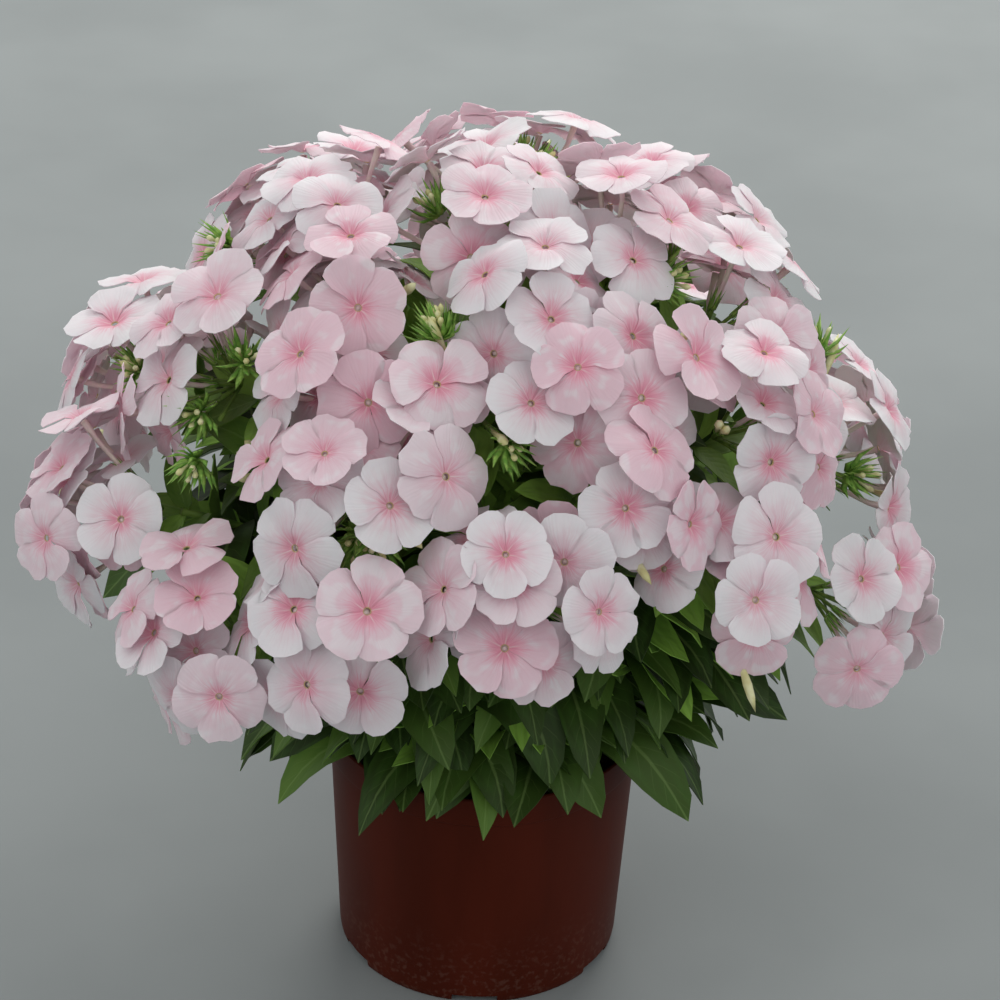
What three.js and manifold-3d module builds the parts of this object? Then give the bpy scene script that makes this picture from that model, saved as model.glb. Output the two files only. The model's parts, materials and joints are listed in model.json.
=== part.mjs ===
// A dwarf garden phlox in full flower, growing in a round plastic nursery pot.
// Millimetres, +Z up. The origin is under the middle of the plant's spread, on the surface it stands on.
// Leafy shoots stand in holes in the soil. Each carries one rounded head of five-petalled florets.
import * as THREE from "three";
import { mergeVertices } from "three/addons/utils/BufferGeometryUtils.js";
import Module from "manifold-3d";

const wasm = await Module();
wasm.setup();

// ---- Driving dimensions ----

const POT = {
  rimRadius: 66,
  footRadius: 60,
  height: 108,
  wall: 1.5,
  collar: 12, // height of the stiffening band under the rim
  step: 1.1, // how far the band stands out of the wall
  footHeight: 4,
  footWidth: 11,
  footGap: 0.32, // width of the cuts between the feet, as a share of the foot's radius
  drains: 6,
  drainRadius: 5,
  sides: 24,
};
const SOIL = { top: 97, mound: 3, holeDepth: 14, holeRadius: 5.2, gap: 0.4 };
// The flowers' faces lie on this egg-shaped dome over the pot.
const DOME = { middle: [-5, 0, 158], radii: [188, 180, 212] };
const STEM = {
  radius: 2,
  sides: 3,
  steps: 5,
  crownRadius: 46, // how far from the pot's axis the outermost shoot stands
  crownInner: 7,
  rising: 0.42, // how long a shoot keeps its first direction, as a share of the way to its head
  turning: 0.36, // the same for its last one
};
const CORE = { radius: 5.5, length: 17, sides: 4 };
const FLORET = {
  radius: 18.4, // half of the width across the petals
  cleft: 0.66, // how far out the clefts between the petals start, as a share of the radius
  thick: 1.1,
  dish: 1.6, // how far the throat lies under the petals
  tube: 1.5,
  stalk: 42, // from the middle of the head to the face: pedicel, calyx and tube
  area: 690, // share of the head's surface for each floret, in square millimetres
  skyward: 0.32, // how far the faces turn up to the light
};
const LEAF = {
  length: 64,
  halfWidth: 10.2,
  thick: 0.7,
  fold: 0.16,
  steps: 12,
  arching: 1.6, // over 1, a leaf holds its first direction longer and then hangs more steeply
  droop: { lowest: 2.7, highest: 0.9, spread: 0.6 },
};
const BUD = { length: 19, radius: 1.9, spread: 0.85 };
const CLEAR = 0.4; // the least gap between two pieces

// Each shoot ends at a place on the dome: turn is the bearing round the pot and rise the height,
// both in degrees. sink is how far the head lies inside the dome, in millimetres.
const SHOOTS = [
  // the crown
  { turn: -98, rise: 80, florets: 8, sink: 0 },
  { turn: -178, rise: 67, florets: 8, sink: 0 },
  { turn: -134, rise: 63, florets: 7, sink: 0 },
  { turn: -24, rise: 69, florets: 7, sink: 0 },
  { turn: -69, rise: 65, florets: 7, sink: 2 },
  { turn: 78, rise: 70, florets: 8, sink: 5 },
  // the shoulders
  { turn: -156, rise: 45, florets: 7, sink: 0 },
  { turn: -117, rise: 52, florets: 5, sink: 3 },
  { turn: -110, rise: 40, florets: 6, sink: 0 },
  { turn: -91, rise: 53, florets: 6, sink: 6 },
  { turn: -59, rise: 52, florets: 7, sink: 0 },
  { turn: -68, rise: 40, florets: 7, sink: 0 },
  { turn: -14, rise: 53, florets: 7, sink: 0 },
  { turn: -34, rise: 42, florets: 7, sink: 0 },
  { turn: 40, rise: 47, florets: 7, sink: 0 },
  { turn: 90, rise: 45, florets: 7, sink: 0 },
  { turn: 138, rise: 47, florets: 7, sink: 0 },
  // the skirt
  { turn: -8, rise: 29, florets: 6, sink: 0 },
  { turn: -47, rise: 28, florets: 8, sink: 2 },
  { turn: -22, rise: 15, florets: 7, sink: 0 },
  { turn: -84, rise: 28, florets: 9, sink: 2 },
  { turn: -110, rise: 23, florets: 7, sink: 2 },
  { turn: -130, rise: 16, florets: 8, sink: 2 },
  { turn: -158, rise: 24, florets: 8, sink: 0 },
  { turn: 24, rise: 20, florets: 7, sink: 0 },
  { turn: 64, rise: 18, florets: 7, sink: 0 },
  { turn: 104, rise: 20, florets: 7, sink: 0 },
  { turn: 142, rise: 19, florets: 7, sink: 0 },
  { turn: 176, rise: 33, florets: 6, sink: 0 },
];
// One side shoot is still in bud. It grows from the stem of another, at this share of that stem.
const SIDE_SHOOT = { parent: 22, at: 0.4, turn: -141, rise: 38, sink: 10, buds: 9 };

// Gaps between the heads where leaves show and no floret opens: places on the dome, and how far they
// reach, all in degrees.
const GREEN_GAPS = {
  reach: 4.5,
  places: [
    { turn: -142, rise: 43 },
    { turn: -152, rise: 35 },
    { turn: -92, rise: 43 },
    { turn: -75, rise: 40 },
    { turn: -118, rise: 76 },
    { turn: -117, rise: 69 },
    { turn: -24, rise: 59 },
    { turn: -13, rise: 30 },
    { turn: -107, rise: 34 },
  ],
};

// The leaf pairs of a low, a middle and a high shoot, from the soil up, as shares of the stem.
// Each pair stands across the one below it. Of the pairs that point at the pot's middle, the inner
// leaf has withered in the shade.
const PAIRS = {
  low: [
    { at: 0.1, across: false },
    { at: 0.28, across: true },
    { at: 0.48, across: false },
    { at: 0.76, across: true },
  ],
  middle: [
    { at: 0.56, across: false },
    { at: 0.78, across: true },
    { at: 0.94, across: true },
  ],
  high: [{ at: 0.74, across: true }],
};

// ---- Small helpers ----

const UP = new THREE.Vector3(0, 0, 1);
const GOLDEN_ANGLE = Math.PI * (3 - Math.sqrt(5));
const rad = THREE.MathUtils.degToRad;
const lerp = THREE.MathUtils.lerp;

// A stream of even draws from 0 to 1 that is the same on every run.
function draws(seed) {
  let state = seed * 7919 + 13;
  return () => {
    state = (state * 16807) % 2147483647;
    return state / 2147483647;
  };
}

function sum(...terms) {
  const total = new THREE.Vector3();
  for (const [vector, factor] of terms) total.addScaledVector(vector, factor);
  return total;
}

// Two directions square to an axis and to each other.
function across(axis) {
  const helper = Math.abs(axis.z) < 0.9 ? UP : new THREE.Vector3(1, 0, 0);
  const side = new THREE.Vector3().crossVectors(helper, axis).normalize();
  return [side, new THREE.Vector3().crossVectors(axis, side)];
}

// A direction leaned off an axis, by a share of its own length, towards one side of it.
function leaned(axis, share, bearing) {
  const [side, other] = across(axis);
  return sum([axis, 1], [side, share * Math.cos(bearing)], [other, share * Math.sin(bearing)]).normalize();
}

// A ring of points round a centre, square to an axis.
function ring(centre, axis, radius, count) {
  const [side, other] = across(axis);
  return Array.from({ length: count }, (_, i) => {
    const a = (i * 2 * Math.PI) / count;
    return sum([centre, 1], [side, radius * Math.cos(a)], [other, radius * Math.sin(a)]);
  });
}

function fromPoints(points, corners) {
  const geometry = new THREE.BufferGeometry().setFromPoints(points);
  geometry.setIndex(corners);
  return geometry;
}

// A closed geometry as a solid that can be joined and cut.
function solid(geometry) {
  const bare = new THREE.BufferGeometry();
  const loose = geometry.index ? geometry.toNonIndexed() : geometry;
  bare.setAttribute("position", loose.getAttribute("position"));
  const merged = mergeVertices(bare, 1e-4);
  const corners = merged.index.array;
  const kept = [];
  for (let i = 0; i < corners.length; i += 3) {
    const [a, b, c] = corners.subarray(i, i + 3);
    if (a !== b && b !== c && c !== a) kept.push(a, b, c);
  }
  const vertProperties = new Float32Array(merged.attributes.position.array);
  return new wasm.Manifold(new wasm.Mesh({ numProp: 3, vertProperties, triVerts: new Uint32Array(kept) }));
}

function geometryOf(made) {
  const mesh = made.getMesh();
  const geometry = new THREE.BufferGeometry();
  geometry.setAttribute("position", new THREE.BufferAttribute(mesh.vertProperties, 3));
  geometry.setIndex(new THREE.BufferAttribute(mesh.triVerts, 1));
  return geometry;
}

// Closes a row of rings, from the front one to the back one, into a skin. A ring of one point is a
// tip. Rings may have different counts: the stitch always steps along the ring that lags behind.
function skin(rings) {
  const corners = [];
  let start = 0;
  for (let r = 0; r + 1 < rings.length; r++) {
    const [n, m] = [rings[r].length, rings[r + 1].length];
    const next = start + n;
    const [stepsHere, stepsNext] = [n > 1 ? n : 0, m > 1 ? m : 0];
    let i = 0;
    let j = 0;
    while (i < stepsHere || j < stepsNext) {
      const a = start + (i % n);
      const b = next + (j % m);
      if (j >= stepsNext || (i < stepsHere && (i + 0.5) * m <= (j + 0.5) * n)) {
        i++;
        corners.push(a, b, start + (i % n));
      } else {
        j++;
        corners.push(a, b, next + (j % m));
      }
    }
    start = next;
  }
  return fromPoints(rings.flat(), corners);
}

// Gives a sheet its thickness: the same triangles on both faces, and a wall round its edge, which
// runs out to nothing at the sheet's first and last point.
function slab(points, corners, thickness) {
  const sheet = fromPoints(points, corners);
  sheet.computeVertexNormals();
  const n = points.length;
  const under = points.map((point, i) => {
    const normal = new THREE.Vector3().fromBufferAttribute(sheet.attributes.normal, i);
    return sum([point, 1], [normal, i === 0 || i === n - 1 ? 0 : -thickness]);
  });
  const all = [...corners];
  const edges = new Set();
  for (let i = 0; i < corners.length; i += 3) {
    const [a, b, c] = corners.slice(i, i + 3);
    all.push(n + a, n + c, n + b);
    for (const [from, to] of [[a, b], [b, c], [c, a]]) {
      const twin = edges.delete(to + "," + from);
      if (!twin) edges.add(from + "," + to);
    }
  }
  for (const edge of edges) {
    const [from, to] = edge.split(",").map(Number);
    all.push(to, from, n + from, to, n + from, n + to);
  }
  return fromPoints([...points, ...under], all);
}

// ---- Layout: where every shoot, floret and leaf stands ----

// The level direction at a bearing round the pot.
function bearingWay(turn) {
  return new THREE.Vector3(Math.cos(rad(turn)), Math.sin(rad(turn)), 0);
}

// The direction of a place on the dome, as on a ball of the same height and width.
function domeWay({ turn, rise }) {
  return sum([bearingWay(turn), Math.cos(rad(rise))], [UP, Math.sin(rad(rise))]);
}

// The place on the dome, and the direction square out of it.
function domePlace(spot) {
  const way = domeWay(spot);
  const radii = new THREE.Vector3(...DOME.radii);
  return {
    place: way.clone().multiply(radii).add(new THREE.Vector3(...DOME.middle)),
    out: way.clone().divide(radii).normalize(),
  };
}

function isInGreenGap(point) {
  const way = sum([point, 1], [new THREE.Vector3(...DOME.middle), -1]);
  way.divide(new THREE.Vector3(...DOME.radii));
  return GREEN_GAPS.places.some((gap) => way.angleTo(domeWay(gap)) < rad(GREEN_GAPS.reach));
}

// The middle of a shoot's head, its axis, and the bend that the stem makes on its way there.
function headAndBend(shoot, from, start) {
  const { place, out } = domePlace(shoot);
  const heart = sum([place, 1], [out, -FLORET.stalk - shoot.sink]);
  const tip = sum([heart, 1], [out, -CORE.length / 2]);
  const reach = tip.distanceTo(from);
  const bend = new THREE.CubicBezierCurve3(
    from,
    sum([from, 1], [start, STEM.rising * reach]),
    sum([tip, 1], [out, -STEM.turning * reach]),
    tip,
  );
  return { heart, out, tip, bend };
}

// A shoot grows straight up out of the soil. The lower its head, the further out it stands.
function footOf({ turn, rise }) {
  const crown = lerp(STEM.crownRadius, STEM.crownInner, rise / 90);
  return sum([bearingWay(turn), crown], [UP, SOIL.top + SOIL.mound]);
}

// A place on a stem, which runs straight between its rings, at a share of its bend.
function onStem(bend, share) {
  const steps = STEM.steps - 1;
  const step = Math.min(Math.floor(share * steps), steps - 1);
  return bend.getPoint(step / steps).lerp(bend.getPoint((step + 1) / steps), share * steps - step);
}

// The florets of a head stand evenly over its dome, as seeds do in a sunflower.
function floretPlaces({ florets, heart, out, draw }) {
  const cosSpread = 1 - (florets * FLORET.area) / (2 * Math.PI * FLORET.stalk ** 2);
  const [side, other] = across(out);
  const phase = draw() * 2 * Math.PI;
  return Array.from({ length: florets }, (_, i) => {
    const polar = Math.acos(1 - ((i + 0.5) / florets) * (1 - cosSpread)) + (draw() - 0.5) * 0.14;
    const bearing = phase + i * GOLDEN_ANGLE + (draw() - 0.5) * 0.4;
    const way = sum(
      [out, Math.cos(polar)],
      [side, Math.sin(polar) * Math.cos(bearing)],
      [other, Math.sin(polar) * Math.sin(bearing)],
    );
    const skyward = sum([way, 1], [UP, FLORET.skyward]).normalize();
    const face = leaned(skyward, 0.3 * draw(), draw() * 2 * Math.PI);
    const stalk = FLORET.stalk + (draw() - 0.5) * 7;
    const size = FLORET.radius * (0.92 + 0.16 * draw());
    const spin = draw() * 2 * Math.PI;
    return { heart, way, face, stalk, size, spin };
  });
}

// The ways in which a floret gives way to its neighbours: along its stalk, aside, or smaller.
const GIVE = [];
for (const shrink of [1, 0.85]) {
  for (const side of [0, 1, 2, 3, 4]) {
    for (const shift of [0, 3, -3, 6, -6, 9, -9, -13]) GIVE.push({ shrink, side, shift });
  }
}

function giveWay(floret, { shrink, side, shift }) {
  const bearing = (side * Math.PI) / 2;
  const way = side ? leaned(floret.way, 0.2, bearing) : floret.way;
  const face = side ? leaned(floret.face, 0.25, bearing) : floret.face;
  const centre = sum([floret.heart, 1], [way, floret.stalk + shift]);
  return { ...floret, way, face, centre, size: floret.size * shrink };
}

function leafPlaces(shoot) {
  const { bend, turn, rise, draw } = shoot;
  const tier = rise < 35 ? "low" : rise < 60 ? "middle" : "high";
  const radial = bearingWay(turn);
  return PAIRS[tier].flatMap(({ at, across: isAcross }) => {
    const swing = (draw() - 0.5) * 0.9;
    const bearings = isAcross ? [Math.PI / 2, -Math.PI / 2] : [0];
    return bearings.map((bearing) => ({
      root: onStem(bend, at),
      along: bend.getTangent(at),
      radial,
      cut: tier === "low" ? "fine" : "plain",
      bearing: bearing + swing + (draw() - 0.5) * 0.3,
      length: LEAF.length * lerp(1.1, 0.68, at) * (0.9 + 0.2 * draw()),
      droop: lerp(LEAF.droop.lowest, LEAF.droop.highest, at) + (draw() - 0.5) * LEAF.droop.spread,
    }));
  });
}

// The ways in which a leaf bends clear: round its stem, up or down, or smaller.
const BEND = [];
for (const shrink of [1, 0.8]) {
  for (const droop of [0, 0.5, -0.5, 1, -1]) {
    for (const twist of [0, 0.3, -0.3, 0.6, -0.6, 0.95, -0.95]) BEND.push({ shrink, droop, twist });
  }
}

// The midrib of a leaf, which bends down under its own weight, and the blade's axes along it.
function leafRib(leaf, { shrink, droop, twist }, rows) {
  const { steps } = LEAF;
  const outward = sum([leaf.radial, 1], [leaf.along, -leaf.radial.dot(leaf.along)]).normalize();
  const aside = new THREE.Vector3().crossVectors(leaf.along, outward);
  const bearing = leaf.bearing + twist;
  const heading = sum([outward, Math.cos(bearing)], [aside, Math.sin(bearing)]);
  const light = sum([UP, 1], [leaf.radial, 0.5]);
  const point = sum([leaf.root, 1], [heading, 0.35 * STEM.radius]);
  const rib = [];
  for (let i = 0; i <= steps; i++) {
    const fall = (leaf.droop + droop) * (i / steps) ** LEAF.arching;
    const way = sum([heading, 1], [leaf.along, 0.6], [UP, -fall]).normalize();
    if (rows.includes(i)) {
      const width = new THREE.Vector3().crossVectors(way, light).normalize();
      const face = new THREE.Vector3().crossVectors(width, way);
      rib.push({ point: point.clone(), width, face });
    }
    point.addScaledVector(way, (leaf.length * shrink) / steps);
  }
  return rib;
}

// ---- Shapes of the plant ----

// A floret: five petals round a throat, on a slim tube that runs back to the heart of the head.
function floretShape({ centre, face, size, spin }, root) {
  const [s, t] = across(face);
  const at = (bearing, radius, height) =>
    sum([centre, 1], [s, radius * Math.cos(bearing)], [t, radius * Math.sin(bearing)], [face, height]);
  const fifth = (2 * Math.PI) / 5;
  const back = -FLORET.dish - FLORET.thick - 1.5;
  const petals = [];
  const under = [];
  for (let k = 0; k < 5; k++) {
    const tip = spin + (k + 0.5) * fifth;
    petals.push(at(spin + k * fifth, size * FLORET.cleft, -0.3));
    petals.push(at(tip - 0.33 * fifth, size, 0), at(tip + 0.33 * fifth, size, 0));
    under.push(at(tip, size * 0.8, -FLORET.thick));
  }
  const collar = [0, 1, 2].map((k) => at(spin + (k * 2 * Math.PI) / 3, FLORET.tube, back));
  return solid(skin([[at(0, 0, -FLORET.dish)], petals, under, collar, [root ?? at(0, 0, back)]]));
}

// The rows of a leaf's blade, as steps from root to tip. Between them each row has a left edge, the
// midrib and a right edge. A low leaf, which shows, is cut finer than one under the flowers.
const LEAF_ROWS = {
  fine: { rows: [0, 4, 8, 12], widths: [0, 1, 0.72, 0] },
  plain: { rows: [0, 5, 12], widths: [0, 1, 0] },
};

function leafShape(leaf, clearing) {
  const { rows, widths } = LEAF_ROWS[leaf.cut];
  const half = LEAF.halfWidth * Math.sqrt((leaf.length * clearing.shrink) / LEAF.length);
  const points = leafRib(leaf, clearing, rows).flatMap(({ point, width, face }, i) => {
    const w = half * widths[i];
    if (w === 0) return [point];
    const edge = (side) => sum([point, 1], [width, side * w], [face, w * LEAF.fold]);
    return [edge(-1), point, edge(1)];
  });
  const last = points.length - 1;
  const corners = [0, 2, 1, 0, 3, 2];
  for (let row = 1; row + 3 < last; row += 3) {
    corners.push(row, row + 1, row + 4, row, row + 4, row + 3);
    corners.push(row + 1, row + 2, row + 5, row + 1, row + 5, row + 4);
  }
  corners.push(last - 3, last - 2, last, last - 2, last - 1, last);
  return solid(slab(points, corners, LEAF.thick));
}

// A stem's path: one straight step, then even steps along its bend to the head.
class StemPath extends THREE.Curve {
  constructor(before, bend) {
    super();
    this.before = before;
    this.bend = bend;
  }
  getPoint(t) {
    const step = t * STEM.steps;
    if (step >= 1) return this.bend.getPoint((step - 1) / (STEM.steps - 1));
    return this.before.clone().lerp(this.bend.getPoint(0), step);
  }
  getUtoTmapping(u) {
    return u;
  }
}

function stemShape(before, bend, radius) {
  const corners = ring(new THREE.Vector3(), UP, radius, STEM.sides);
  const section = new THREE.Shape(corners.map(({ x, y }) => new THREE.Vector2(x, y)));
  const extrudePath = new StemPath(before, bend);
  return solid(new THREE.ExtrudeGeometry(section, { steps: STEM.steps, extrudePath }));
}

// The heart of a head, which the florets' stalks grow from, just over the stem's tip.
function coreShape({ tip, out }) {
  const at = (height) => sum([tip, 1], [out, height]);
  const middle = ring(at(CORE.length / 2), out, CORE.radius, CORE.sides);
  const base = ring(at(CLEAR), out, CORE.radius / 2, CORE.sides);
  return solid(skin([[at(CORE.length)], middle, base, [at(CLEAR)]]));
}

// A closed bud: a slim spindle that stands on the tip of its stem.
function budShape(tip, way, length) {
  const at = (share) => sum([tip, 1], [way, share * length]);
  const belly = ring(at(0.68), way, BUD.radius, 3);
  const neck = ring(at(0.3), way, BUD.radius * 0.55, 3);
  return solid(skin([[at(1)], belly, neck, [at(-0.1)]]));
}

// ---- Pot and soil ----

// The pot's wall as half a section, from the rim down on the inside and from the foot up outside.
const INSIDE = [
  [POT.rimRadius - POT.wall, POT.height],
  [POT.rimRadius - POT.step - POT.wall, POT.height - POT.collar - 1],
  [POT.footRadius - POT.wall, POT.footHeight + 4],
  [POT.footRadius - POT.wall - 2.5, POT.footHeight + POT.wall],
];
const OUTSIDE = [
  [POT.footRadius - POT.footWidth, POT.footHeight],
  [POT.footRadius - POT.footWidth, 0],
  [POT.footRadius - 1, 0],
  [POT.rimRadius - POT.step, POT.height - POT.collar - POT.step],
  [POT.rimRadius, POT.height - POT.collar],
  [POT.rimRadius, POT.height],
];

// The radius of the pot's inner wall at a height.
function insideAt(z) {
  const [, high, low] = INSIDE;
  return lerp(low[0], high[0], (z - low[1]) / (high[1] - low[1]));
}

function turned(rows) {
  const geometry = new THREE.LatheGeometry(rows.map(([r, z]) => new THREE.Vector2(r, z)), POT.sides);
  return solid(geometry.rotateX(Math.PI / 2));
}

// The pot stands on a foot ring that is cut through between its feet, with a drain hole by each cut.
function potShape() {
  const { footRadius, footHeight, footWidth, footGap, wall, drains, drainRadius } = POT;
  const inner = footRadius - footWidth;
  let made = turned([[0, footHeight], ...OUTSIDE, ...INSIDE, [0, footHeight + wall]]);
  for (let i = 0; i < drains; i++) {
    const bearing = ((i + 0.5) * 2 * Math.PI) / drains;
    const cut = new THREE.BoxGeometry(3 * footWidth, footGap * footRadius, 2 * footHeight - 1);
    cut.translate(footRadius, 0, 0).rotateZ(bearing);
    const drain = new THREE.CylinderGeometry(drainRadius, drainRadius, 6 * wall, 6);
    drain.rotateX(Math.PI / 2).translate(inner - drainRadius - 3, 0, footHeight).rotateZ(bearing);
    made = made.subtract(solid(cut)).subtract(solid(drain));
  }
  return made;
}

// The soil fills the pot to just under its band, with a low mound and a hole for each stem.
function soilShape(feet) {
  const { gap, top, mound, holeDepth, holeRadius } = SOIL;
  const [, , low, floor] = INSIDE;
  let made = turned([
    [0, floor[1] + gap],
    [floor[0] - gap, floor[1] + gap],
    [low[0] - gap, low[1]],
    [insideAt(top) - gap, top],
    [0.6 * POT.footRadius, top + mound],
    [0, top + mound],
  ]);
  for (const foot of feet) {
    const hole = new THREE.CylinderGeometry(holeRadius, holeRadius, 2 * holeDepth, 3);
    hole.rotateX(Math.PI / 2).translate(foot.x, foot.y, foot.z);
    made = made.subtract(solid(hole));
  }
  return made;
}

// ---- The plant in its pot ----

const finishes = {
  pot: new THREE.MeshStandardMaterial({ color: 0x7a2a18, roughness: 0.5, metalness: 0 }),
  soil: new THREE.MeshStandardMaterial({ color: 0x2a1d14, roughness: 1, metalness: 0 }),
  leaf: new THREE.MeshStandardMaterial({ color: 0x2f5a22, roughness: 0.6, metalness: 0 }),
  petal: new THREE.MeshStandardMaterial({ color: 0xf6cdd3, roughness: 0.7, metalness: 0 }),
};

// What stands already. Each new piece is placed clear of it.
const standing = [];

function boxesMeet(a, b) {
  return [0, 1, 2].every((k) => a.min[k] <= b.max[k] + CLEAR && b.min[k] <= a.max[k] + CLEAR);
}

function isClear(made, mayTouch = () => false) {
  const box = made.boundingBox();
  return standing.every(
    (other) => mayTouch(other) || !boxesMeet(box, other.box) || made.minGap(other.made, 2 * CLEAR) >= CLEAR,
  );
}

function stand(made, kind, owner) {
  standing.push({ made, kind, owner, box: made.boundingBox() });
}

function growStems(shoots) {
  for (const shoot of shoots) {
    const before = sum([shoot.foot, 1], [UP, CLEAR - SOIL.holeDepth]);
    const stem = stemShape(before, shoot.bend, STEM.radius);
    if (!isClear(stem)) throw new Error("stem " + shoot.name + " crosses another piece");
    stand(stem, "stem", shoot);
    shoot.green = [stem];
    const core = coreShape(shoot);
    stand(core, "core", shoot);
    shoot.pink = [core];
  }
}

// The side shoot in bud is one body with the stem that it grows from.
function growSideShoot(parent) {
  const { at, buds } = SIDE_SHOOT;
  const draw = draws(97);
  const from = onStem(parent.bend, at);
  const start = parent.bend.getTangent(at);
  const side = { ...SIDE_SHOOT, draw, ...headAndBend(SIDE_SHOOT, from, start) };
  const before = sum([from, 1], [start, -1]);
  const pieces = [stemShape(before, side.bend, STEM.radius * 0.8)];
  for (let i = 0; i < buds; i++) {
    const polar = BUD.spread * Math.sqrt((i + 0.5) / buds);
    const way = leaned(side.out, Math.tan(polar), i * GOLDEN_ANGLE);
    pieces.push(budShape(side.tip, way, BUD.length * (0.8 + 0.4 * draw())));
  }
  const isParent = (other) => other.owner === parent;
  for (const piece of pieces) {
    if (!isClear(piece, isParent)) throw new Error("the side shoot crosses another piece");
    parent.green.push(piece);
  }
  for (const piece of pieces) stand(piece, "stem", parent);
  return side;
}

// A floret keeps clear of every other piece and of its own head's petals. Its tube joins the core.
function growFlorets(shoot) {
  for (const place of floretPlaces(shoot)) {
    if (isInGreenGap(giveWay(place, GIVE[0]).centre)) continue;
    for (const give of GIVE) {
      const floret = giveWay(place, give);
      const petals = floretShape(floret);
      if (!isClear(petals)) continue;
      const whole = floretShape(floret, floret.heart);
      if (!isClear(whole, (other) => other.owner === shoot && other.kind !== "petals")) continue;
      stand(petals, "petals", shoot);
      stand(whole, "floret", shoot);
      shoot.pink.push(whole);
      break;
    }
  }
}

// A leaf keeps clear of every piece but its own stem.
function growLeaves(shoot, owner) {
  for (const leaf of leafPlaces(shoot)) {
    for (const clearing of BEND) {
      const blade = leafShape(leaf, clearing);
      if (!isClear(blade, (other) => other.owner === owner && other.kind === "stem")) continue;
      stand(blade, "leaf", owner);
      owner.green.push(blade);
      break;
    }
  }
}

function growPhlox() {
  const phlox = new THREE.Group();
  const show = (name, made, finish) => {
    const mesh = new THREE.Mesh(geometryOf(made), finish);
    mesh.name = name;
    phlox.add(mesh);
  };
  const shoots = SHOOTS.map((shoot, i) => {
    const foot = footOf(shoot);
    const name = String(i + 1).padStart(2, "0");
    return { ...shoot, name, foot, draw: draws(i + 1), ...headAndBend(shoot, foot, UP) };
  });
  const pot = potShape();
  const soil = soilShape(shoots.map((shoot) => shoot.foot));
  stand(pot, "pot");
  stand(soil, "soil");
  show("pot", pot, finishes.pot);
  show("soil", soil, finishes.soil);

  growStems(shoots);
  const parent = shoots[SIDE_SHOOT.parent];
  const side = growSideShoot(parent);
  for (const shoot of shoots) growFlorets(shoot);
  for (const shoot of shoots) growLeaves(shoot, shoot);
  growLeaves(side, parent);
  for (const shoot of shoots) {
    show("stem_" + shoot.name, wasm.Manifold.union(shoot.green), finishes.leaf);
    show("head_" + shoot.name, wasm.Manifold.union(shoot.pink), finishes.petal);
  }
  const spread = new THREE.Box3().setFromObject(phlox).getCenter(new THREE.Vector3());
  phlox.position.set(-spread.x, -spread.y, 0);
  return phlox;
}

export default growPhlox();
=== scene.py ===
# %% [markdown]
# # A dwarf garden phlox in its nursery pot
#
# The plant is a dome of pale pink florets over leafy shoots, grown in a round plastic pot. The frame
# holds it as plain solids: each shoot is a three-sided stem with flat leaves, and each head a cluster
# of simple five-petalled stars. This lesson dresses every one of them in a finer shape.
#
# One could model a single floret by hand and scatter it, but then every flower would look alike and
# none would meet its stem. Instead each part of the plant is made once, flat and straight, with
# Blender's mesh operators, and copies of it are bent into place by a formula, as a florist wires
# silk flowers. The places follow the same growing rules as the frame, so the dressed plant and the
# frame stand in the same space.

# %% Load the frame
import itertools
import json
import math
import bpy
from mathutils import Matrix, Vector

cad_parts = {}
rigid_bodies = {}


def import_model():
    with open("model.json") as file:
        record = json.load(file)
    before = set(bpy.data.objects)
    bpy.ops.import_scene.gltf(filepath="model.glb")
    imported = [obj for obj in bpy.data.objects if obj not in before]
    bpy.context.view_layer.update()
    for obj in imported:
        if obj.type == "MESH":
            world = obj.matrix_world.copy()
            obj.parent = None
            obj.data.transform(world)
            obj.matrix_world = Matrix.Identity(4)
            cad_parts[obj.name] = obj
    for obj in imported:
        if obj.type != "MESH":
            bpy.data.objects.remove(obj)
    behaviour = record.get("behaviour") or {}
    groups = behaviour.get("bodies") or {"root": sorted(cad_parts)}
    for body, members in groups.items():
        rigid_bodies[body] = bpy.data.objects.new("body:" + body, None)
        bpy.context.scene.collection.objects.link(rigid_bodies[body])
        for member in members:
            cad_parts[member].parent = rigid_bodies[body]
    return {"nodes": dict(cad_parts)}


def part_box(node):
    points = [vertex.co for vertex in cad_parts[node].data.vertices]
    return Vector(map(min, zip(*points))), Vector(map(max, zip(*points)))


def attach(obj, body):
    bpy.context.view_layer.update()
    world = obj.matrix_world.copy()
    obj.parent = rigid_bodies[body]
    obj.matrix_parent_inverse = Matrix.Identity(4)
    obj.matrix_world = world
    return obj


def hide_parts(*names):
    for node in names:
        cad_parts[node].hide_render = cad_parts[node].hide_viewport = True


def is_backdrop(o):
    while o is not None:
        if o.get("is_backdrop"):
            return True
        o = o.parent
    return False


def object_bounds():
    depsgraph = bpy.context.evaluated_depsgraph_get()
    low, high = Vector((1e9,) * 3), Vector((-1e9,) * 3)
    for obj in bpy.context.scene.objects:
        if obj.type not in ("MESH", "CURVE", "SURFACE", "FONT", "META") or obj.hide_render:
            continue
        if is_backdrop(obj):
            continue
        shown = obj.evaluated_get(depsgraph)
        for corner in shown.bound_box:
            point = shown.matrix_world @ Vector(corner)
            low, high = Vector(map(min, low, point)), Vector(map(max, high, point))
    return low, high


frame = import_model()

from types import SimpleNamespace

import bmesh
import bpy
from mathutils import Matrix, Vector, noise
from mathutils.bvhtree import BVHTree

MM = 0.001
cad_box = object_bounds()
pot_low, pot_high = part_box("pot")
POT_FOOT = Vector(((pot_low.x + pot_high.x) / 2, (pot_low.y + pot_high.y) / 2, 0))
print("nodes:", len(frame["nodes"]))
print("the pot stands at", [round(x / MM, 2) for x in POT_FOOT], "mm")

# %% [markdown]
# ## How the plant grows
#
# Numbers that differ from flower to flower come from a small stream of draws. A library's random
# numbers would do too, but this stream is written out, so it gives the same flowers on every machine.

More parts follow.
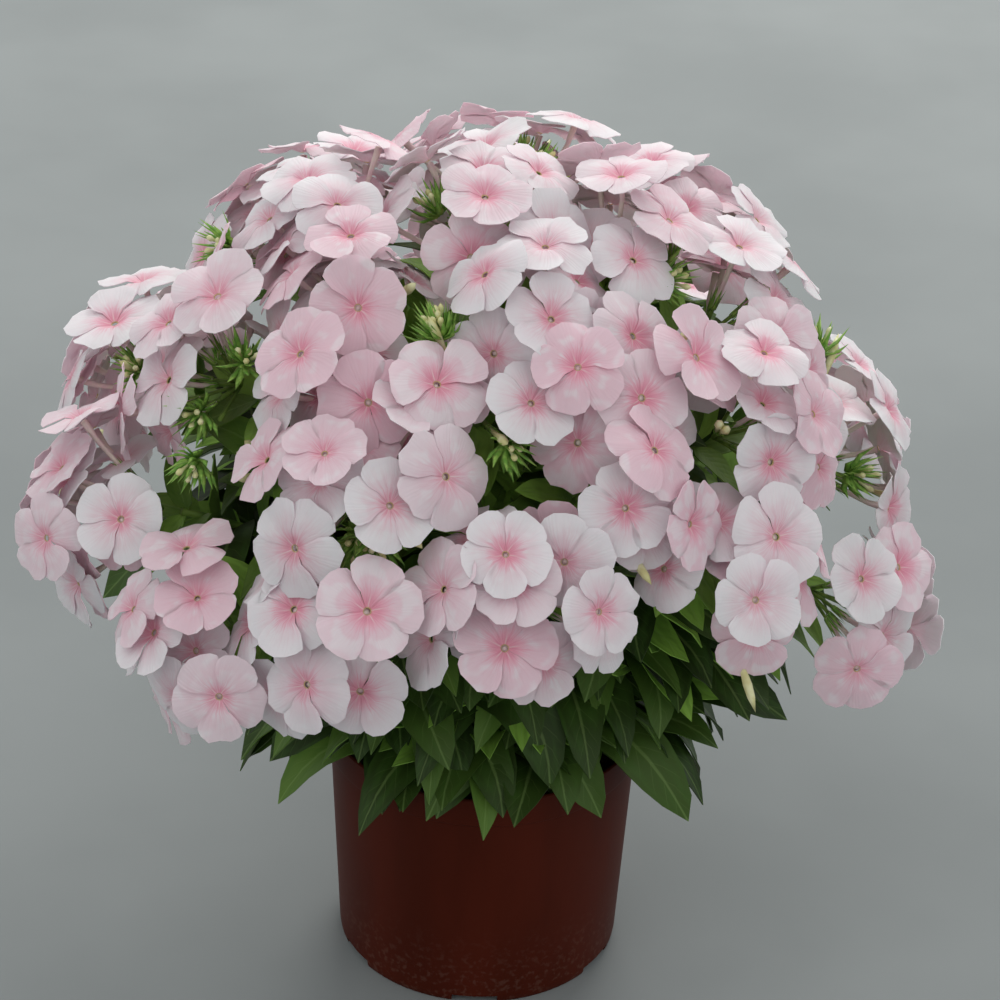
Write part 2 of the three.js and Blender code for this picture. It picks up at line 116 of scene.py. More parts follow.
# %% Draws and directions
UP = Vector((0, 0, 1))
GOLDEN_ANGLE = math.pi * (3 - math.sqrt(5))
FIFTH = 2 * math.pi / 5


def draws(seed):
    """An endless stream of even draws from 0 to 1."""
    state = seed * 7919 + 13
    while True:
        state = state * 16807 % 2147483647
        yield state / 2147483647


def stray(draw, spread):
    """An even draw to either side of 0."""
    return (next(draw) - 0.5) * spread


def lerp(a, b, share):
    return a + (b - a) * share


def smooth(low, high, x):
    """0 below low, 1 above high, and a soft step between them."""
    t = min(max((x - low) / (high - low), 0), 1)
    return t * t * (3 - 2 * t)


def across(axis):
    """Two directions square to an axis and to each other."""
    helper = UP if abs(axis.z) < 0.9 else Vector((1, 0, 0))
    side = helper.cross(axis).normalized()
    return side, axis.cross(side)


def leaned(axis, share, bearing):
    """A direction leaned off an axis, towards one side of it."""
    side, other = across(axis)
    lean = side * math.cos(bearing) + other * math.sin(bearing)
    return (axis + lean * share).normalized()


def bearing_way(turn):
    return Vector((math.cos(math.radians(turn)), math.sin(math.radians(turn)), 0))


def first_fit(choices, fits):
    """The first choice that fits, or none."""
    return next((choice for choice in choices if fits(choice)), None)


print("the first draws:", [round(number, 3) for number, _ in zip(draws(1), range(3))])

# %% [markdown]
# Every shoot ends at a place on an egg-shaped dome. A place on it is given as a globe's is: by its
# bearing round the pot and by its height, both in degrees.

# %% The dome
DOME_MIDDLE = POT_FOOT + Vector((-5, 0, 158)) * MM
DOME_RADII = Vector((188, 180, 212)) * MM


def dome_place(turn, rise):
    """The place on the dome, and the direction square out of it."""
    level = math.cos(math.radians(rise))
    way = bearing_way(turn) * level + UP * math.sin(math.radians(rise))
    place = Vector(w * r for w, r in zip(way, DOME_RADII)) + DOME_MIDDLE
    return place, Vector(w / r for w, r in zip(way, DOME_RADII)).normalized()


print("the dome's top is", round(dome_place(0, 90)[0].z / MM), "mm up")

# %% [markdown]
# A shoot rises straight out of the soil and then bends out to its head. Its way is a Bezier bend of
# four points: its foot, a point above the foot, a point behind the head, and its tip. A curve object
# could hold it too, but a formula can be asked for any point of it, which the leaves need.

# %% Bends
STEM_CHORDS = 4


def bend_point(bend, t):
    a, b, c, d = bend
    s = 1 - t
    return a * s**3 + b * (3 * s * s * t) + c * (3 * s * t * t) + d * t**3


def bend_way(bend, t):
    a, b, c, d = bend
    s = 1 - t
    return ((b - a) * (s * s) + (c - b) * (2 * s * t) + (d - c) * (t * t)).normalized()


def chord_point(bend, share):
    """The same place on the frame's stem, which runs straight between a few rings."""
    step = min(int(share * STEM_CHORDS), STEM_CHORDS - 1)
    low = bend_point(bend, step / STEM_CHORDS)
    high = bend_point(bend, (step + 1) / STEM_CHORDS)
    return low.lerp(high, share * STEM_CHORDS - step)


print("the frame's stems have", STEM_CHORDS, "straight stretches")

# %% [markdown]
# The heads are set out one by one, close enough to make a dome and with green showing between them. The
# foot of a shoot stands the nearer to the pot's middle, the higher its head is.

# %% The shoots
SOIL_TOP = 100 * MM
STEM_RADIUS = 2 * MM
CROWN_RADIUS = 46 * MM
CROWN_INNER = 7 * MM
CORE_LENGTH = 17 * MM
STALK = 42 * MM
# How far the bend's two middle points lie from its ends, as a share of the way between them.
RISING = 0.42
TURNING = 0.36

# Each shoot: its bearing round the pot and its height on the dome in degrees, how many florets its
# head could hold, and how far the head lies inside the dome in millimetres.
SHOOTS = [
    (-98, 80, 8, 0), (-178, 67, 8, 0), (-134, 63, 7, 0), (-24, 69, 7, 0), (-69, 65, 7, 2),
    (78, 70, 8, 5), (-156, 45, 7, 0), (-117, 52, 5, 3), (-110, 40, 6, 0), (-91, 53, 6, 6),
    (-59, 52, 7, 0), (-68, 40, 7, 0), (-14, 53, 7, 0), (-34, 42, 7, 0), (40, 47, 7, 0),
    (90, 45, 7, 0), (138, 47, 7, 0), (-8, 29, 6, 0), (-47, 28, 8, 2), (-22, 15, 7, 0),
    (-84, 28, 9, 2), (-110, 23, 7, 2), (-130, 16, 8, 2), (-158, 24, 8, 0), (24, 20, 7, 0),
    (64, 18, 7, 0), (104, 20, 7, 0), (142, 19, 7, 0), (176, 33, 6, 0),
]
SIDE_SHOOT = SimpleNamespace(parent=22, at=0.4, turn=-141, rise=38, sink=10, buds=9)


def head_and_bend(turn, rise, sink, start, way):
    """The middle of a head, its axis, the stem's tip, and the bend that the stem makes."""
    place, out = dome_place(turn, rise)
    heart = place - out * (STALK + sink * MM)
    tip = heart - out * (CORE_LENGTH / 2)
    reach = (tip - start).length
    bend = (start, start + way * RISING * reach, tip - out * TURNING * reach, tip)
    return heart, out, tip, bend


# A shoot has two streams of draws: one for its florets and leaves, as the frame has, and one more for
# all that the frame doesn't have.
shoots = []
for i, (turn, rise, florets, sink) in enumerate(SHOOTS):
    crown = lerp(CROWN_RADIUS, CROWN_INNER, rise / 90)
    foot = POT_FOOT + bearing_way(turn) * crown + UP * SOIL_TOP
    heart, out, _, bend = head_and_bend(turn, rise, sink, foot, UP)
    shoots.append(SimpleNamespace(
        name=f"{i + 1:02d}", turn=turn, rise=rise, florets=florets, foot=foot, heart=heart,
        out=out, bend=bend, draw=draws(i + 1), extra=draws(1000 + i),
    ))
print("shoots:", len(shoots))

# %% [markdown]
# ## The places of the florets
#
# The florets of a head stand evenly over its dome, each turned by the golden angle from the one
# before, as seeds do in a sunflower. Their faces turn up to the light, and each differs a little from
# its place by its own draws.

# %% Places in a head
FLORET_RADIUS = 18.4 * MM
FLORET_AREA = 690 * MM**2
SKYWARD = 0.32


def floret_places(shoot):
    draw, count = shoot.draw, shoot.florets
    cos_spread = 1 - count * FLORET_AREA / (2 * math.pi * STALK**2)
    side, other = across(shoot.out)
    phase = next(draw) * 2 * math.pi
    places = []
    for i in range(count):
        polar = math.acos(1 - (i + 0.5) / count * (1 - cos_spread)) + stray(draw, 0.14)
        bearing = phase + i * GOLDEN_ANGLE + stray(draw, 0.4)
        lean = side * math.cos(bearing) + other * math.sin(bearing)
        way = shoot.out * math.cos(polar) + lean * math.sin(polar)
        skyward = (way + UP * SKYWARD).normalized()
        face = leaned(skyward, 0.3 * next(draw), next(draw) * 2 * math.pi)
        stalk = STALK + stray(draw, 7) * MM
        size = FLORET_RADIUS * (0.92 + 0.16 * next(draw))
        spin = next(draw) * 2 * math.pi
        places.append(SimpleNamespace(way=way, face=face, stalk=stalk, size=size, spin=spin))
    return places


def total(what):
    return sum(len(getattr(shoot, what)) for shoot in shoots)


for shoot in shoots:
    shoot.places = floret_places(shoot)
print("places for florets:", total("places"))

# %% [markdown]
# ## Which way each flower gave
#
# The frame's florets and leaves were placed one after the other, and each gave way to what already
# stood there: it moved along its stalk, leaned aside or grew smaller. Working that out again would
# need every solid. It is quicker to ask the frame. For each way in which a floret may have given, the
# shoulders of its petals are worked out and looked for on the frame's surface, and the way that fits
# is the one.

# %% Look for the frame's florets
FOUND = 0.06 * MM
# How far off its middle a petal has its shoulders, as a share of a fifth of a turn.
SHOULDER = 0.33
# The ways to give, in the order in which they are tried: a share of the size, the side leaned to, and
# how far along the stalk in millimetres.
GIVE = list(itertools.product((1, 0.85), range(5), (0, 3, -3, 6, -6, 9, -9, -13)))


def surface_of(*nodes):
    """The surface of some nodes, ready to be asked for its nearest point."""
    points, faces = [], []
    for node in nodes:
        mesh = frame["nodes"][node].data
        faces += [[len(points) + v for v in p.vertices] for p in mesh.polygons]
        points += [v.co for v in mesh.vertices]
    return BVHTree.FromPolygons(points, faces)


def lies_on(surface, points):
    return all(surface.find_nearest(p, FOUND)[0] is not None for p in points)


def given_way(heart, place, give):
    shrink, side, shift = give
    bearing = side * math.pi / 2
    way = leaned(place.way, 0.2, bearing) if side else place.way
    face = leaned(place.face, 0.25, bearing) if side else place.face
    centre = heart + way * (place.stalk + shift * MM)
    return SimpleNamespace(
        heart=heart, way=way, face=face, centre=centre, size=place.size * shrink, spin=place.spin
    )


def petal_shoulders(floret):
    s, t = across(floret.face)
    edges = (-SHOULDER, SHOULDER)
    bearings = [floret.spin + (k + 0.5 + edge) * FIFTH for k in range(5) for edge in edges]
    return [
        floret.centre + (s * math.cos(a) + t * math.sin(a)) * floret.size for a in bearings
    ]


for shoot in shoots:
    surface = surface_of("head_" + shoot.name)
    shoot.blooms = []
    for place in shoot.places:
        tries = (given_way(shoot.heart, place, give) for give in GIVE)
        bloom = first_fit(tries, lambda floret: lies_on(surface, petal_shoulders(floret)))
        if bloom:
            shoot.blooms.append(bloom)
print("florets that stand:", total("blooms"))

# %% [markdown]
# ## Where the leaves grow
#
# Leaves grow in opposite pairs, each pair across the one below it, and droop more the lower they
# stand. A shoot that leans out low keeps its lower leaves. A high one has lost them in the shade, and
# so has every pair that stands along the outward way lost its inner leaf.

# %% Pairs of leaves
LEAF_LENGTH = 64 * MM
LOW_RISE, HIGH_RISE = 35, 60
# How far up the shoot each pair grows, and whether it stands across the outward way.
PAIRS = {
    "low": [(0.1, False), (0.28, True), (0.48, False), (0.76, True)],
    "middle": [(0.56, False), (0.78, True), (0.94, True)],
    "high": [(0.74, True)],
}


def new_leaf(bend, turn, at, bearing, length, droop):
    along = bend_way(bend, at)
    radial = bearing_way(turn)
    outward = (radial - along * radial.dot(along)).normalized()
    return SimpleNamespace(
        root=chord_point(bend, at), seat=bend_point(bend, at), along=along, radial=radial,
        outward=outward, aside=along.cross(outward), bearing=bearing, length=length, droop=droop,
    )


def leaf_places(bend, turn, rise, draw):
    tier = "low" if rise < LOW_RISE else "middle" if rise < HIGH_RISE else "high"
    leaves = []
    for at, is_across in PAIRS[tier]:
        swing = stray(draw, 0.9)
        for bearing in (math.pi / 2, -math.pi / 2) if is_across else (0,):
            turned = bearing + swing + stray(draw, 0.3)
            length = LEAF_LENGTH * lerp(1.1, 0.68, at) * (0.9 + 0.2 * next(draw))
            droop = lerp(2.7, 0.9, at) + stray(draw, 0.6)
            leaves.append(new_leaf(bend, turn, at, turned, length, droop))
            leaves[-1].widest_step = 4 if tier == "low" else 5
    return leaves


for shoot in shoots:
    shoot.leaf_places = leaf_places(shoot.bend, shoot.turn, shoot.rise, shoot.draw)
print("places for leaves:", total("leaf_places"))

# %% [markdown]
# A leaf's midrib is walked out in a dozen small steps. At each step its way sinks further, as a blade
# bends under its own weight. The face of the blade stays turned to the light, up and outwards.

# %% Walk out a midrib
LEAF_STEPS = 12
LEAF_HALF_WIDTH = 10.2 * MM
LEAF_ARCHING = 1.6


def leaf_rib(leaf, give):
    """The midrib's points from root to tip, with the blade's width and face directions."""
    shrink, droop, twist = give
    bearing = leaf.bearing + twist
    heading = leaf.outward * math.cos(bearing) + leaf.aside * math.sin(bearing)
    light = UP + leaf.radial * 0.5
    point = leaf.root + heading * (0.35 * STEM_RADIUS)
    rib = []
    for i in range(LEAF_STEPS + 1):
        fall = (leaf.droop + droop) * (i / LEAF_STEPS) ** LEAF_ARCHING
        way = (heading + leaf.along * 0.6 - UP * fall).normalized()
        width = way.cross(light).normalized()
        rib.append((point.copy(), width, width.cross(way)))
        point += way * (leaf.length * shrink / LEAF_STEPS)
    return rib


def leaf_half_width(leaf, give):
    return LEAF_HALF_WIDTH * math.sqrt(leaf.length * give[0] / LEAF_LENGTH)


print("a usual leaf:", round(LEAF_LENGTH / MM), "mm long and", round(2 * LEAF_HALF_WIDTH / MM), "mm wide")

# %% [markdown]
# ## Which way each leaf bent
#
# The leaves gave way too: they bent up or down, turned aside or stayed shorter. The frame is asked
# again which of the possible bends each one took. Its two widest points have to lie on the surface.

# %% Look for the frame's leaves
LEAF_FOLD = 0.16
# The ways to bend, in the order in which they are tried: a share of the length, more droop, and a
# turn aside.
BENDS = list(itertools.product((1, 0.8), (0, 0.5, -0.5, 1, -1), (0, 0.3, -0.3, 0.6, -0.6, 0.95, -0.95)))


def widest_points(leaf, give):
    """The two edge points of the frame's leaf where it is widest."""
    point, width, face = leaf_rib(leaf, give)[leaf.widest_step]
    half = leaf_half_width(leaf, give)
    return [point + width * half * e + face * half * LEAF_FOLD for e in (-1, 1)]


def find_leaves(shoot, leaves):
    surface = surface_of("stem_" + shoot.name)
    for leaf in leaves:
        leaf.give = first_fit(BENDS, lambda give: lies_on(surface, widest_points(leaf, give)))
    return [leaf for leaf in leaves if leaf.give]


for shoot in shoots:
    shoot.leaves = find_leaves(shoot, shoot.leaf_places)
print("leaves that stand:", total("leaves"))

# %% [markdown]
# One shoot carries a side shoot that is still in bud. It springs from a place on the shoot's bend,
# follows a bend of its own, and has a few leaves of its own.

# %% The side shoot
bearer = shoots[SIDE_SHOOT.parent]
side_draw = draws(97)
side_start = chord_point(bearer.bend, SIDE_SHOOT.at)
side_way = bend_way(bearer.bend, SIDE_SHOOT.at)
_, side_out, side_tip, side_bend = head_and_bend(
    SIDE_SHOOT.turn, SIDE_SHOOT.rise, SIDE_SHOOT.sink, side_start, side_way
)
bud_draws = [next(side_draw) for _ in range(SIDE_SHOOT.buds)]
side_places = leaf_places(side_bend, SIDE_SHOOT.turn, SIDE_SHOOT.rise, side_draw)
side_leaves = find_leaves(bearer, side_places)
print("leaves on the side shoot:", len(side_leaves))

# %% [markdown]
# ## Materials
#
# Living tissue is mostly water, so petals and leaves share an index of refraction near 1.4, and petals
# let some light through. What tells them apart is pigment and skin. Each colour is given as a hex value,
# as a paint chart does, and one function turns it into the linear numbers that the renderer mixes.
# One more small function adds a shader node with its settings and links, so that every material
# below reads as a list of what it is made of. Both could be built by hand in the shader editor, but
# then nobody could read how the finish came about.

# %% Two helpers for materials
def paint(code):
    """An sRGB hex colour as linear light."""
    shares = [int(code[i:i + 2], 16) / 255 for i in (1, 3, 5)]
    linear = [s / 12.92 if s <= 0.04045 else ((s + 0.055) / 1.055) ** 2.4 for s in shares]
    return (*linear, 1.0)


def add(tree, kind, inputs, output="", **settings):
    """Adds a shader node with its settings, fills its inputs, and gives one of its outputs."""
    node = tree.nodes.new("ShaderNode" + kind)
    for name, value in settings.items():
        setattr(node, name, value)
    sockets = [s for s in node.inputs if s.enabled]
    for key, value in inputs.items():
        socket = sockets[key] if isinstance(key, int) else next(s for s in sockets if s.name == key)
        if isinstance(value, bpy.types.NodeSocket):
            tree.links.new(value, socket)
        else:
            socket.default_value = paint(value) if isinstance(value, str) else value
    outputs = [s for s in node.outputs if s.enabled]
    return next((s for s in outputs if s.name == output), outputs[0])


print("a grey of one half is", round(paint("#808080")[0], 3), "of white's light")

# %% [markdown]
# Most of these finishes are layers of pigment, each thin where its pattern ends softly. One could
# paint them as pictures. Here a layer is a colour, the most of it that ever shows, and the soft steps
# that fade it out, which stays sharp at any distance.

# %% Layers of pigment
def new_material(name, skin):
    """A material with one principled shader, whose constant sockets are set here."""
    material = bpy.data.materials.new(name)
    material.use_nodes = True
    shader = material.node_tree.nodes["Principled BSDF"]
    for socket, value in skin.items():
        shader.inputs[socket].default_value = value
    return material, material.node_tree, shader


def pigment(tree, below, colour, most, *steps):
    """Lays a colour over the ones below. Each step is a pattern and where it starts and ends."""
    share = most
    for pattern, start, end in steps:
        fade = {"Value": pattern, "From Min": start, "From Max": end, "To Max": share}
        share = add(tree, "MapRange", fade, interpolation_type="SMOOTHSTEP")
    return add(tree, "Mix", {"Factor": share, "A": below, "B": colour}, data_type="RGBA")


def skin_relief(tree, shader, colour, height, strength, depth):
    """Gives the shader its colour and the small heights of its surface."""
    tree.links.new(colour, shader.inputs["Base Color"])
    relief = add(tree, "Bump", {"Height": height, "Strength": strength, "Distance": depth})
    tree.links.new(relief, shader.inputs["Normal"])


# %% [markdown]
# Petals and leaves carry a map of their own: across the map is across the blade, and up the map is
# from its foot to its tip. A pattern on it follows every bend of the blade, which one in space
# wouldn't. Sizes in millimetres are turned into the map's shares by the size of a usual blade.

# %% Patterns on a blade
def blade_map(tree):
    """Where a point lies on its blade: its share across, its share along, how far off the middle."""
    place = add(tree, "UVMap", {}, uv_map="blade")
    x = add(tree, "SeparateXYZ", {0: place}, "X")
    y = add(tree, "SeparateXYZ", {0: place}, "Y")
    middle = add(tree, "Math", {0: x, 1: 2.0, 2: -1.0}, operation="MULTIPLY_ADD")
    return x, y, add(tree, "Math", {0: middle}, operation="ABSOLUTE")


def streaks(tree, x, y, blade, streak, seed):
    """Streaks of a width and length, on a blade of a width and length."""
    wide = add(tree, "Math", {0: x, 1: blade[0] / streak[0]}, operation="MULTIPLY")
    long = add(tree, "Math", {0: y, 1: blade[1] / streak[1]}, operation="MULTIPLY")
    place = add(tree, "CombineXYZ", {0: wide, 1: long, 2: seed})
    return add(tree, "TexNoise", {"Vector": place, "Scale": 1.0, "Detail": 1.0, "Roughness": 0.55})


# %% [markdown]
# ### Petal tissue
#
# A phlox petal is white tissue with a blush of pink, a deeper star round the throat and a pale line
# down the middle of the star. The pigment runs along fine veins that fan out from the throat. The
# tissue is soft and matt, with a velvet of tiny cells, and light that enters it comes out again
# pinker, so petals in each other's shade glow. The veins are really 0.3 mm apart. They are drawn
# three times as coarse, so that they show, and the low ribs of the surface are drawn 1.8 mm apart.

# %% The petal's finish
def petal_material():
    material, tree, shader = new_material("phlox_petal", {
        "Roughness": 0.62, "IOR": 1.4, "Subsurface Weight": 0.4,
        "Subsurface Radius": (1.0, 0.72, 0.8), "Subsurface Scale": 2.5 * MM, "Sheen Weight": 0.08,
    })
    # A usual petal's width and length, and the room from rib to rib, in millimetres.
    blade, rib_apart = (20, 17), 1.8
    x, y, side = blade_map(tree)
    tint = add(tree, "Attribute", {}, "Fac", attribute_name="tint")
    under = add(tree, "Attribute", {}, "Fac", attribute_name="under")
    seed = add(tree, "Math", {0: tint, 1: 40.0}, operation="MULTIPLY")
    vigour = add(tree, "Math", {0: seed}, operation="FRACT")
    grain = streaks(tree, x, y, blade, (0.9, 13), seed)
    cloud = streaks(tree, x, y, blade, (8, 8), seed)
    reach = y
    for pattern, weight in ((grain, -0.36), (side, 0.05), (vigour, -0.12)):
        reach = add(tree, "Math", {0: pattern, 1: weight, 2: reach}, operation="MULTIPLY_ADD")
    bright = add(tree, "Math", {0: vigour, 1: 0.4, 2: 0.5}, operation="MULTIPLY_ADD")
    base = pigment(tree, "#f4ebf2", "#f3c8d6", 1.0, (tint, 0.3, 1.0))
    base = pigment(tree, base, "#f4c0cf", 0.55, (y, 0.9, 0.3))
    base = pigment(tree, base, "#f9f1f7", 0.45, (cloud, 0.5, 0.68))
    base = pigment(tree, base, "#f49cb2", bright, (reach, 0.2, -0.1))
    base = pigment(tree, base, "#e77c94", bright, (y, 0.27, 0.06), (grain, 0.35, 0.6))
    base = pigment(tree, base, "#f9dfde", 0.5, (side, 0.16, 0.03), (y, 0.3, 0.1))
    base = pigment(tree, base, "#b9a45c", 1.0, (y, 0.035, 0.0))
    base = pigment(tree, base, "#e5a0b4", 0.2, (grain, 0.48, 0.6), (y, 1.0, 0.2))
    base = pigment(tree, base, "#f1d6e0", 0.6, (under, 0.0, 1.0))
    sway = add(tree, "Math", {0: x, 1: 17.0, 2: seed}, operation="MULTIPLY_ADD")
    sway = add(tree, "Math", {0: sway}, operation="SINE")
    ribs = add(tree, "Math", {0: x, 1: blade[0] / rib_apart * 2 * math.pi}, operation="MULTIPLY")
    ribs = add(tree, "Math", {0: sway, 1: 2.5, 2: ribs}, operation="MULTIPLY_ADD")
    ribs = add(tree, "Math", {0: ribs}, operation="SINE")
    skin_relief(tree, shader, base, ribs, 0.14, 0.2 * MM)
    return material


petal_skin = petal_material()
print("finish:", petal_skin.name)

# %% [markdown]
# ### Leaf tissue
#
# Phlox leaves have a thin waxy skin over dark green tissue, which gives a soft shine along the folds.
# The midrib and the side veins are paler and lie in grooves, about 6 mm apart, and the blade swells a
# little between them. The underside is paler.

# %% The leaf's finish
def leaf_material():
    material, tree, shader = new_material("phlox_leaf", {
        "Roughness": 0.5, "IOR": 1.42, "Specular IOR Level": 0.35,
    })
    # A usual leaf's width and length, and the room from side vein to side vein, in millimetres.
    blade, vein_apart = (20, 60), 6.5
    x, y, side = blade_map(tree)
    # The tint carries painted light and shade, with a little tone at random.
    tint = add(tree, "Attribute", {}, "Fac", attribute_name="tint")
    under = add(tree, "Attribute", {}, "Fac", attribute_name="under")
    seed = add(tree, "Math", {0: tint, 1: 30.0}, operation="MULTIPLY")
    grain = streaks(tree, x, y, blade, (4, 15), seed)
    rows = add(tree, "Math", {0: y, 1: blade[1] / vein_apart * math.pi}, operation="MULTIPLY")
    slant = add(tree, "Math", {0: side, 1: -1.8 * math.pi, 2: rows}, operation="MULTIPLY_ADD")
    wave = add(tree, "Math", {0: slant}, operation="SINE")
    wave = add(tree, "Math", {0: wave}, operation="ABSOLUTE")
    # Painted shade and light: a low tint gives the near-black green of a leaf in shade, and a high one a
    # sunlit fresh green.
    base = pigment(tree, "#142607", "#9acb56", 1.0, (tint, -0.1, 1.0))
    base = pigment(tree, base, "#48702a", 0.3, (grain, 0.4, 0.7))
    base = pigment(tree, base, "#9ab96c", 0.1, (wave, 0.2, 0.0), (side, 1.0, 0.3))
    base = pigment(tree, base, "#9ab96c", 0.24, (side, 0.09, 0.03))
    base = pigment(tree, base, "#6f8c50", 0.5, (under, 0.0, 1.0))
    height = add(tree, "Math", {0: wave, 1: 0.3}, operation="MULTIPLY")
    height = add(tree, "Math", {0: side, 1: 0.5, 2: height}, operation="MULTIPLY_ADD")
    skin_relief(tree, shader, base, height, 0.4, 0.5 * MM)
    return material


leaf_skin = leaf_material()
print("finish:", leaf_skin.name)

# %% [markdown]
# ### Stems, sepals, tubes and buds
#
# Stems, flower stalks and sepals are green tissue without a blade, brighter where it is young. The
# corolla's tube and the closed buds hold no green: they are cream, with a blush where the sun reached
# them. All of them are smooth and matt, with a mottle a few millimetres long that keeps a hundred
# stalks from looking like one.

# %% The finishes of the round parts
def tissue_material(name, young, old, mottle_length):
    """Soft tissue of two colours, with a mottle of the given length in metres."""
    material, tree, shader = new_material(name, {
        "Roughness": 0.5, "IOR": 1.4, "Specular IOR Level": 0.35,
    })
    place = add(tree, "TexCoord", {}, "Object")
    mottle = add(tree, "TexNoise", {"Vector": place, "Scale": 1 / mottle_length, "Detail": 1.0})
    base = pigment(tree, young, old, 1.0, (mottle, 0.35, 0.65))
    skin_relief(tree, shader, base, mottle, 0.2, 0.2 * MM)
    return material


stem_skin = tissue_material("phlox_stem", "#7f9f48", "#617e38", 6 * MM)
sepal_skin = tissue_material("phlox_sepal", "#a0c662", "#76a948", 3 * MM)
tube_skin = tissue_material("phlox_corolla_tube", "#f4e8dc", "#f3d9da", 5 * MM)
bud_skin = tissue_material("phlox_bud", "#ebebbd", "#dcd79a", 4 * MM)
print("finishes:", [m.name for m in (stem_skin, sepal_skin, tube_skin, bud_skin)])

# %% [markdown]
# ## Patterns to cut from
#
# A petal and a leaf are both a thin blade. Each is a flat grid with a thickness: it runs from -1 to 1
# across, from 0 to 1 along, and from 0 down to -1 through its thickness. Its outline is given when a
# copy is bent into place, so one pattern serves every petal. It could be cut to the outline first, but
# then all petals would share one. It has only a few dozen faces, because it is used hundreds of times.

# %% Blades
# Where faces meet at more than this angle, in radians, the edge between them stays sharp.
SHARP = 1


def as_mesh(name, bm):
    """Turns what was modelled into a mesh with rounded shading, and lets the model go."""
    for face in bm.faces:
        face.smooth = True
    mesh = bpy.data.meshes.new(name)
    bm.to_mesh(mesh)
    bm.free()
    return mesh


def with_marks(bm):
    """Every pattern carries the same map and the same two numbers for each face."""
    return (
        bm.loops.layers.uv.get("blade") or bm.loops.layers.uv.new("blade"),
        bm.faces.layers.float.get("under") or bm.faces.layers.float.new("under"),
        bm.faces.layers.float.get("tint") or bm.faces.layers.float.new("tint"),
    )


def blade_pattern(name, columns, rows, pointed=True, crowding=1.0):
    """A flat blade of unit size and thickness. Crowding draws its rows and columns to its rim."""
    bm = bmesh.new()
    bmesh.ops.create_grid(bm, x_segments=columns, y_segments=rows, size=1)
    bmesh.ops.translate(bm, verts=bm.verts, vec=(0, 1, 0))
    bmesh.ops.scale(bm, verts=bm.verts, vec=(1, 0.5, 1))
    if pointed:
        tip = [v for v in bm.verts if v.co.y > 0.999]
        bmesh.ops.pointmerge(bm, verts=tip, merge_co=(0, 1, 0))
    bmesh.ops.solidify(bm, geom=bm.faces[:], thickness=1)
    bmesh.ops.recalc_face_normals(bm, faces=bm.faces)
    lowest = min(v.co.z for v in bm.verts)
    highest = max(v.co.z for v in bm.verts)
    blade, under, _ = with_marks(bm)
    for vert in bm.verts:
        vert.co.x *= crowding - (crowding - 1) * vert.co.x**2
        vert.co.y = 1 - max(1 - vert.co.y, 0) ** crowding
        vert.co.z = (vert.co.z - highest) / (highest - lowest)
    bm.normal_update()
    for face in bm.faces:
        face[under] = 1.0 if face.normal.z < -0.5 else 0.0
        for loop in face.loops:
            loop[blade].uv = ((loop.vert.co.x + 1) / 2, loop.vert.co.y)
    for edge in bm.edges:
        edge.smooth = edge.calc_face_angle() < SHARP
    return as_mesh(name, bm)


petal_pattern = blade_pattern("petal_pattern", 6, 4, pointed=False, crowding=1.25)
leaf_pattern = blade_pattern("leaf_pattern", 4, 8)
small_leaf_pattern = blade_pattern("small_leaf_pattern", 2, 7)
for mesh in (petal_pattern, leaf_pattern, small_leaf_pattern):
    print(mesh.name, len(mesh.polygons), "faces")

# %% [markdown]
# Round things, such as a stalk, a bud or a sepal, are half a section spun round an axis, from a foot
# at 0 to a tip at 1. A section is a list of radius and height, as a share of the full size.

# %% Spindles
def spun(bm, profile, steps):
    """Spins half a section, given as radius and height, into a closed round body."""
    points = [bm.verts.new((radius, 0, height)) for radius, height in profile]
    edges = [bm.edges.new(pair) for pair in zip(points, points[1:])]
    bmesh.ops.spin(
        bm, geom=points + edges, cent=(0, 0, 0), axis=(0, 0, 1), angle=2 * math.pi,
        steps=steps, use_merge=True,
    )
    bmesh.ops.remove_doubles(bm, verts=bm.verts, dist=1e-7)
    bmesh.ops.recalc_face_normals(bm, faces=bm.faces)


def spindle_pattern(name, profile, sides):
    bm = bmesh.new()
    with_marks(bm)
    spun(bm, profile, sides)
    return as_mesh(name, bm)


awl_pattern = spindle_pattern("awl_pattern", [(0, 0), (1, 0.12), (0.85, 0.5), (0, 1)], 4)
STEM_RINGS = 14
stem_profile = [(0, 0), *((1, i / STEM_RINGS) for i in range(STEM_RINGS + 1)), (0, 1)]
stem_pattern = spindle_pattern("stem_pattern", stem_profile, 8)
stalk_pattern = spindle_pattern(
    "stalk_pattern", [(0, 0), (1, 0), (0.9, 0.17), (1, 0.34), (1, 0.4), (0, 0.42)], 6
)
tube_pattern = spindle_pattern(
    "tube_pattern", [(0, 0.3), (1, 0.34), (0.8, 0.55), (0.85, 0.8), (1.25, 0.97), (0, 0.98)], 6
)
bud_pattern = spindle_pattern(
    "bud_pattern", [(0, 0), (0.45, 0.05), (0.5, 0.45), (1, 0.7), (0.85, 0.84), (0, 1)], 6
)
for mesh in (awl_pattern, stem_pattern, stalk_pattern, tube_pattern, bud_pattern):
    print(mesh.name, len(mesh.polygons), "faces")

# %% [markdown]
# ## Planting
#
# A piece of the plant starts as an empty mesh. Planting adds a copy of a pattern to it and moves each
# of the copy's points by a function that knows the way. Array and curve modifiers could carry copies
# along a path, but not give every flower its own bend.

# %% Plant a pattern
def plant(bm, pattern, place, material=0, tint=0.5):
    """Adds a copy of a pattern to a piece, and bends it into place point by point."""
    verts, faces = len(bm.verts), len(bm.faces)
    bm.from_mesh(pattern)
    bm.verts.ensure_lookup_table()
    bm.faces.ensure_lookup_table()
    for vert in bm.verts[verts:]:
        vert.co = place(*vert.co)
    layer = bm.faces.layers.float["tint"]
    for face in bm.faces[faces:]:
        face.material_index = material
        face[layer] = tint


